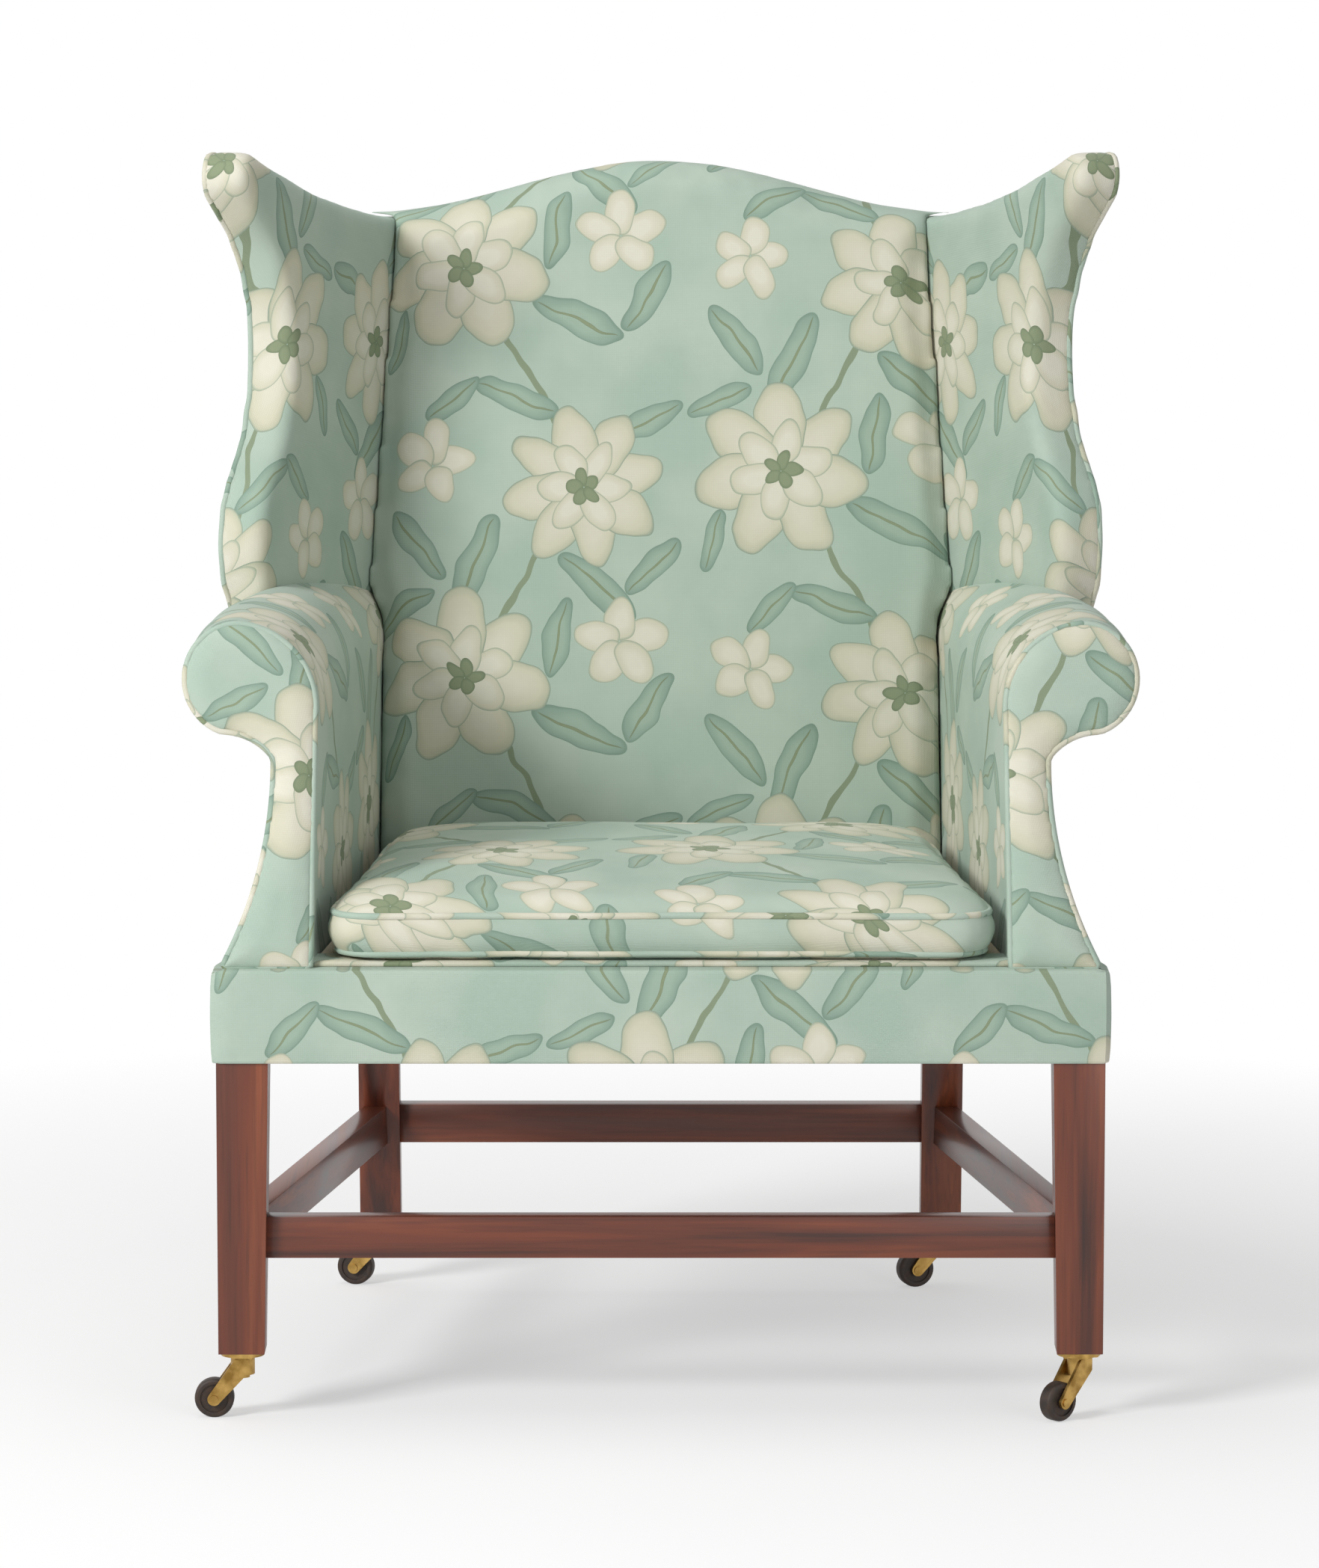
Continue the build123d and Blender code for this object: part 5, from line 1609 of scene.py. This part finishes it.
@dataclass(frozen=True)
class Casters:
    """The four casters: brass horns and plates, leather wheels."""

    places: tuple[str, ...] = ("front_left", "front_right", "rear_left", "rear_right")

    def build(self) -> None:
        """Dresses the casters."""
        brass, leather = BRASS.material(), WHEEL_LEATHER.material()
        dressed = {"caster_plates": brass, "caster_screws": brass}
        for place in self.places:
            dressed[f"caster_horn_{place}"] = brass
            dressed[f"caster_axle_{place}"] = brass
            dressed[f"caster_wheel_{place}"] = leather
        for node, material in dressed.items():
            dress(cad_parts[node], material)
            LOG.info("%s: %s", node, material.name)


@dataclass(frozen=True)
class Lamp:
    """One soft light, aimed at the chair."""

    name: str
    place: tuple[float, float, float]
    size: float
    watts: float


@dataclass(frozen=True)
class Studio:
    """Camera, lights and the white floor."""

    camera_place: tuple[float, float, float] = (-0.0011, -6.6117, 1.4392)
    camera_pitch: float = 7.759     # degrees down
    lens: float = 161.25
    sensor: float = 36.0
    sight: float = 100.0
    aim: tuple[float, float, float] = (0.0, 0.0, 0.55)
    lamps: tuple[Lamp, ...] = (
        Lamp("key", (-3.3, -3.3, 2.8), 1.3, 215.0),
        Lamp("fill", (3.2, -4.2, 1.6), 3.0, 58.0),
        Lamp("top", (-0.4, 0.2, 4.2), 2.4, 45.0),
    )
    sky_light: float = 0.25
    floor_size: float = 60.0
    shadow_near: float = 0.7        # shadows show up to here and fade until there
    shadow_far: float = 1.7
    paper_colour: str = "f4f4f4"
    paper_rough: float = 0.9
    paper_shine: float = 0.1
    paper_glow: float = 0.5

    def build(self) -> None:
        """Builds the studio."""
        scene = bpy.context.scene
        scene.view_settings.view_transform = "Standard"
        bpy.ops.object.select_all(action="DESELECT")
        bpy.ops.mesh.primitive_plane_add(size=self.floor_size)
        floor = bpy.context.object
        floor.name = "floor"
        floor.data.materials.append(self.paper())
        for lamp in self.lamps:
            light = bpy.data.lights.new(lamp.name, "AREA")
            light.size, light.energy = lamp.size, lamp.watts
            holder = bpy.data.objects.new(lamp.name, light)
            holder.location = lamp.place
            ray = Vector(self.aim) - holder.location
            holder.rotation_euler = ray.to_track_quat("-Z", "Y").to_euler()
            scene.collection.objects.link(holder)
        self.sky(scene)
        camera = bpy.data.cameras.new("camera")
        camera.lens, camera.sensor_width = self.lens, self.sensor
        camera.clip_end = self.sight
        holder = bpy.data.objects.new("camera", camera)
        holder.location = self.camera_place
        holder.rotation_euler = (math.radians(90 - self.camera_pitch), 0, 0)
        scene.collection.objects.link(holder)
        scene.camera = holder

    def paper(self) -> bpy.types.Material:
        """The floor: white paper that takes soft shadows near the chair and fades to plain white.

        Returns:
            The material.
        """
        material, tree, shader = blank_material("studio_paper")
        feed(tree, shader, {
            "Base Color": linear(self.paper_colour), "Roughness": self.paper_rough,
            "Specular IOR Level": self.paper_shine,
        })
        spot = add_node(tree, "ShaderNodeTexCoord").outputs["Object"]
        away = add_node(tree, "ShaderNodeVectorMath", {0: spot}, operation="LENGTH").outputs["Value"]
        fade = remap(tree, away, (self.paper_glow, 1.0), (self.shadow_near, self.shadow_far))
        seen = calc(tree, Sum.NUMBER, "MULTIPLY", fade, self.looked_at(tree))
        white = add_node(tree, "ShaderNodeEmission", {"Color": (1, 1, 1, 1), "Strength": 1.0})
        mix = add_node(tree, "ShaderNodeMixShader", {
            0: seen, 1: shader.outputs[0], 2: white.outputs[0]})
        feed(tree, tree.nodes["Material Output"], {"Surface": mix.outputs[0]})
        return material

    @staticmethod
    def looked_at(tree: bpy.types.NodeTree) -> bpy.types.NodeSocket:
        """Where the camera sees a surface, itself or in a shine.

        Args:
            tree: the nodes of a material or of the world.

        Returns:
            1 on rays from the camera and on mirrored and passing ones, else 0.
        """
        rays = add_node(tree, "ShaderNodeLightPath").outputs
        seen = rays["Is Camera Ray"]
        for kind in ("Is Glossy Ray", "Is Transmission Ray"):
            seen = calc(tree, Sum.NUMBER, "MAXIMUM", seen, rays[kind])
        return seen

    def sky(self, scene: bpy.types.Scene) -> None:
        """White to the camera, a plain soft light to the chair.

        Args:
            scene: the scene.
        """
        world = bpy.data.worlds.new("studio_white")
        world.use_nodes = True
        scene.world = world
        tree = world.node_tree
        soft = tree.nodes["Background"]
        feed(tree, soft, {"Color": (1, 1, 1, 1), "Strength": self.sky_light})
        white = add_node(tree, "ShaderNodeBackground", {"Color": (1, 1, 1, 1), "Strength": 1.0})
        mix = add_node(tree, "ShaderNodeMixShader", {
            0: self.looked_at(tree), 1: soft.outputs[0], 2: white.outputs[0]})
        feed(tree, tree.nodes["World Output"], {"Surface": mix.outputs[0]})


def main() -> None:
    """Builds the chair piece by piece and the studio round it."""
    logging.basicConfig(level=logging.INFO, format="%(name)s %(message)s")
    Studio().build()
    WoodFrame().build()
    Casters().build()
    fabric = SilkLampas().material()
    back = Back(fabric)
    back.inside()
    back.outside()
    for side in Side:
        Wing(side, fabric).build()
        arm = Arm(side, fabric)
        arm.body()
        arm.face()
    RailCover().build(fabric)
    seat = Seat()
    seat.deck(LINEN.material())
    seat.lip(fabric)
    seat.dust(BLACK_CAMBRIC.material())
    seat.cushion(fabric)


if __name__ == "__main__":
    main()
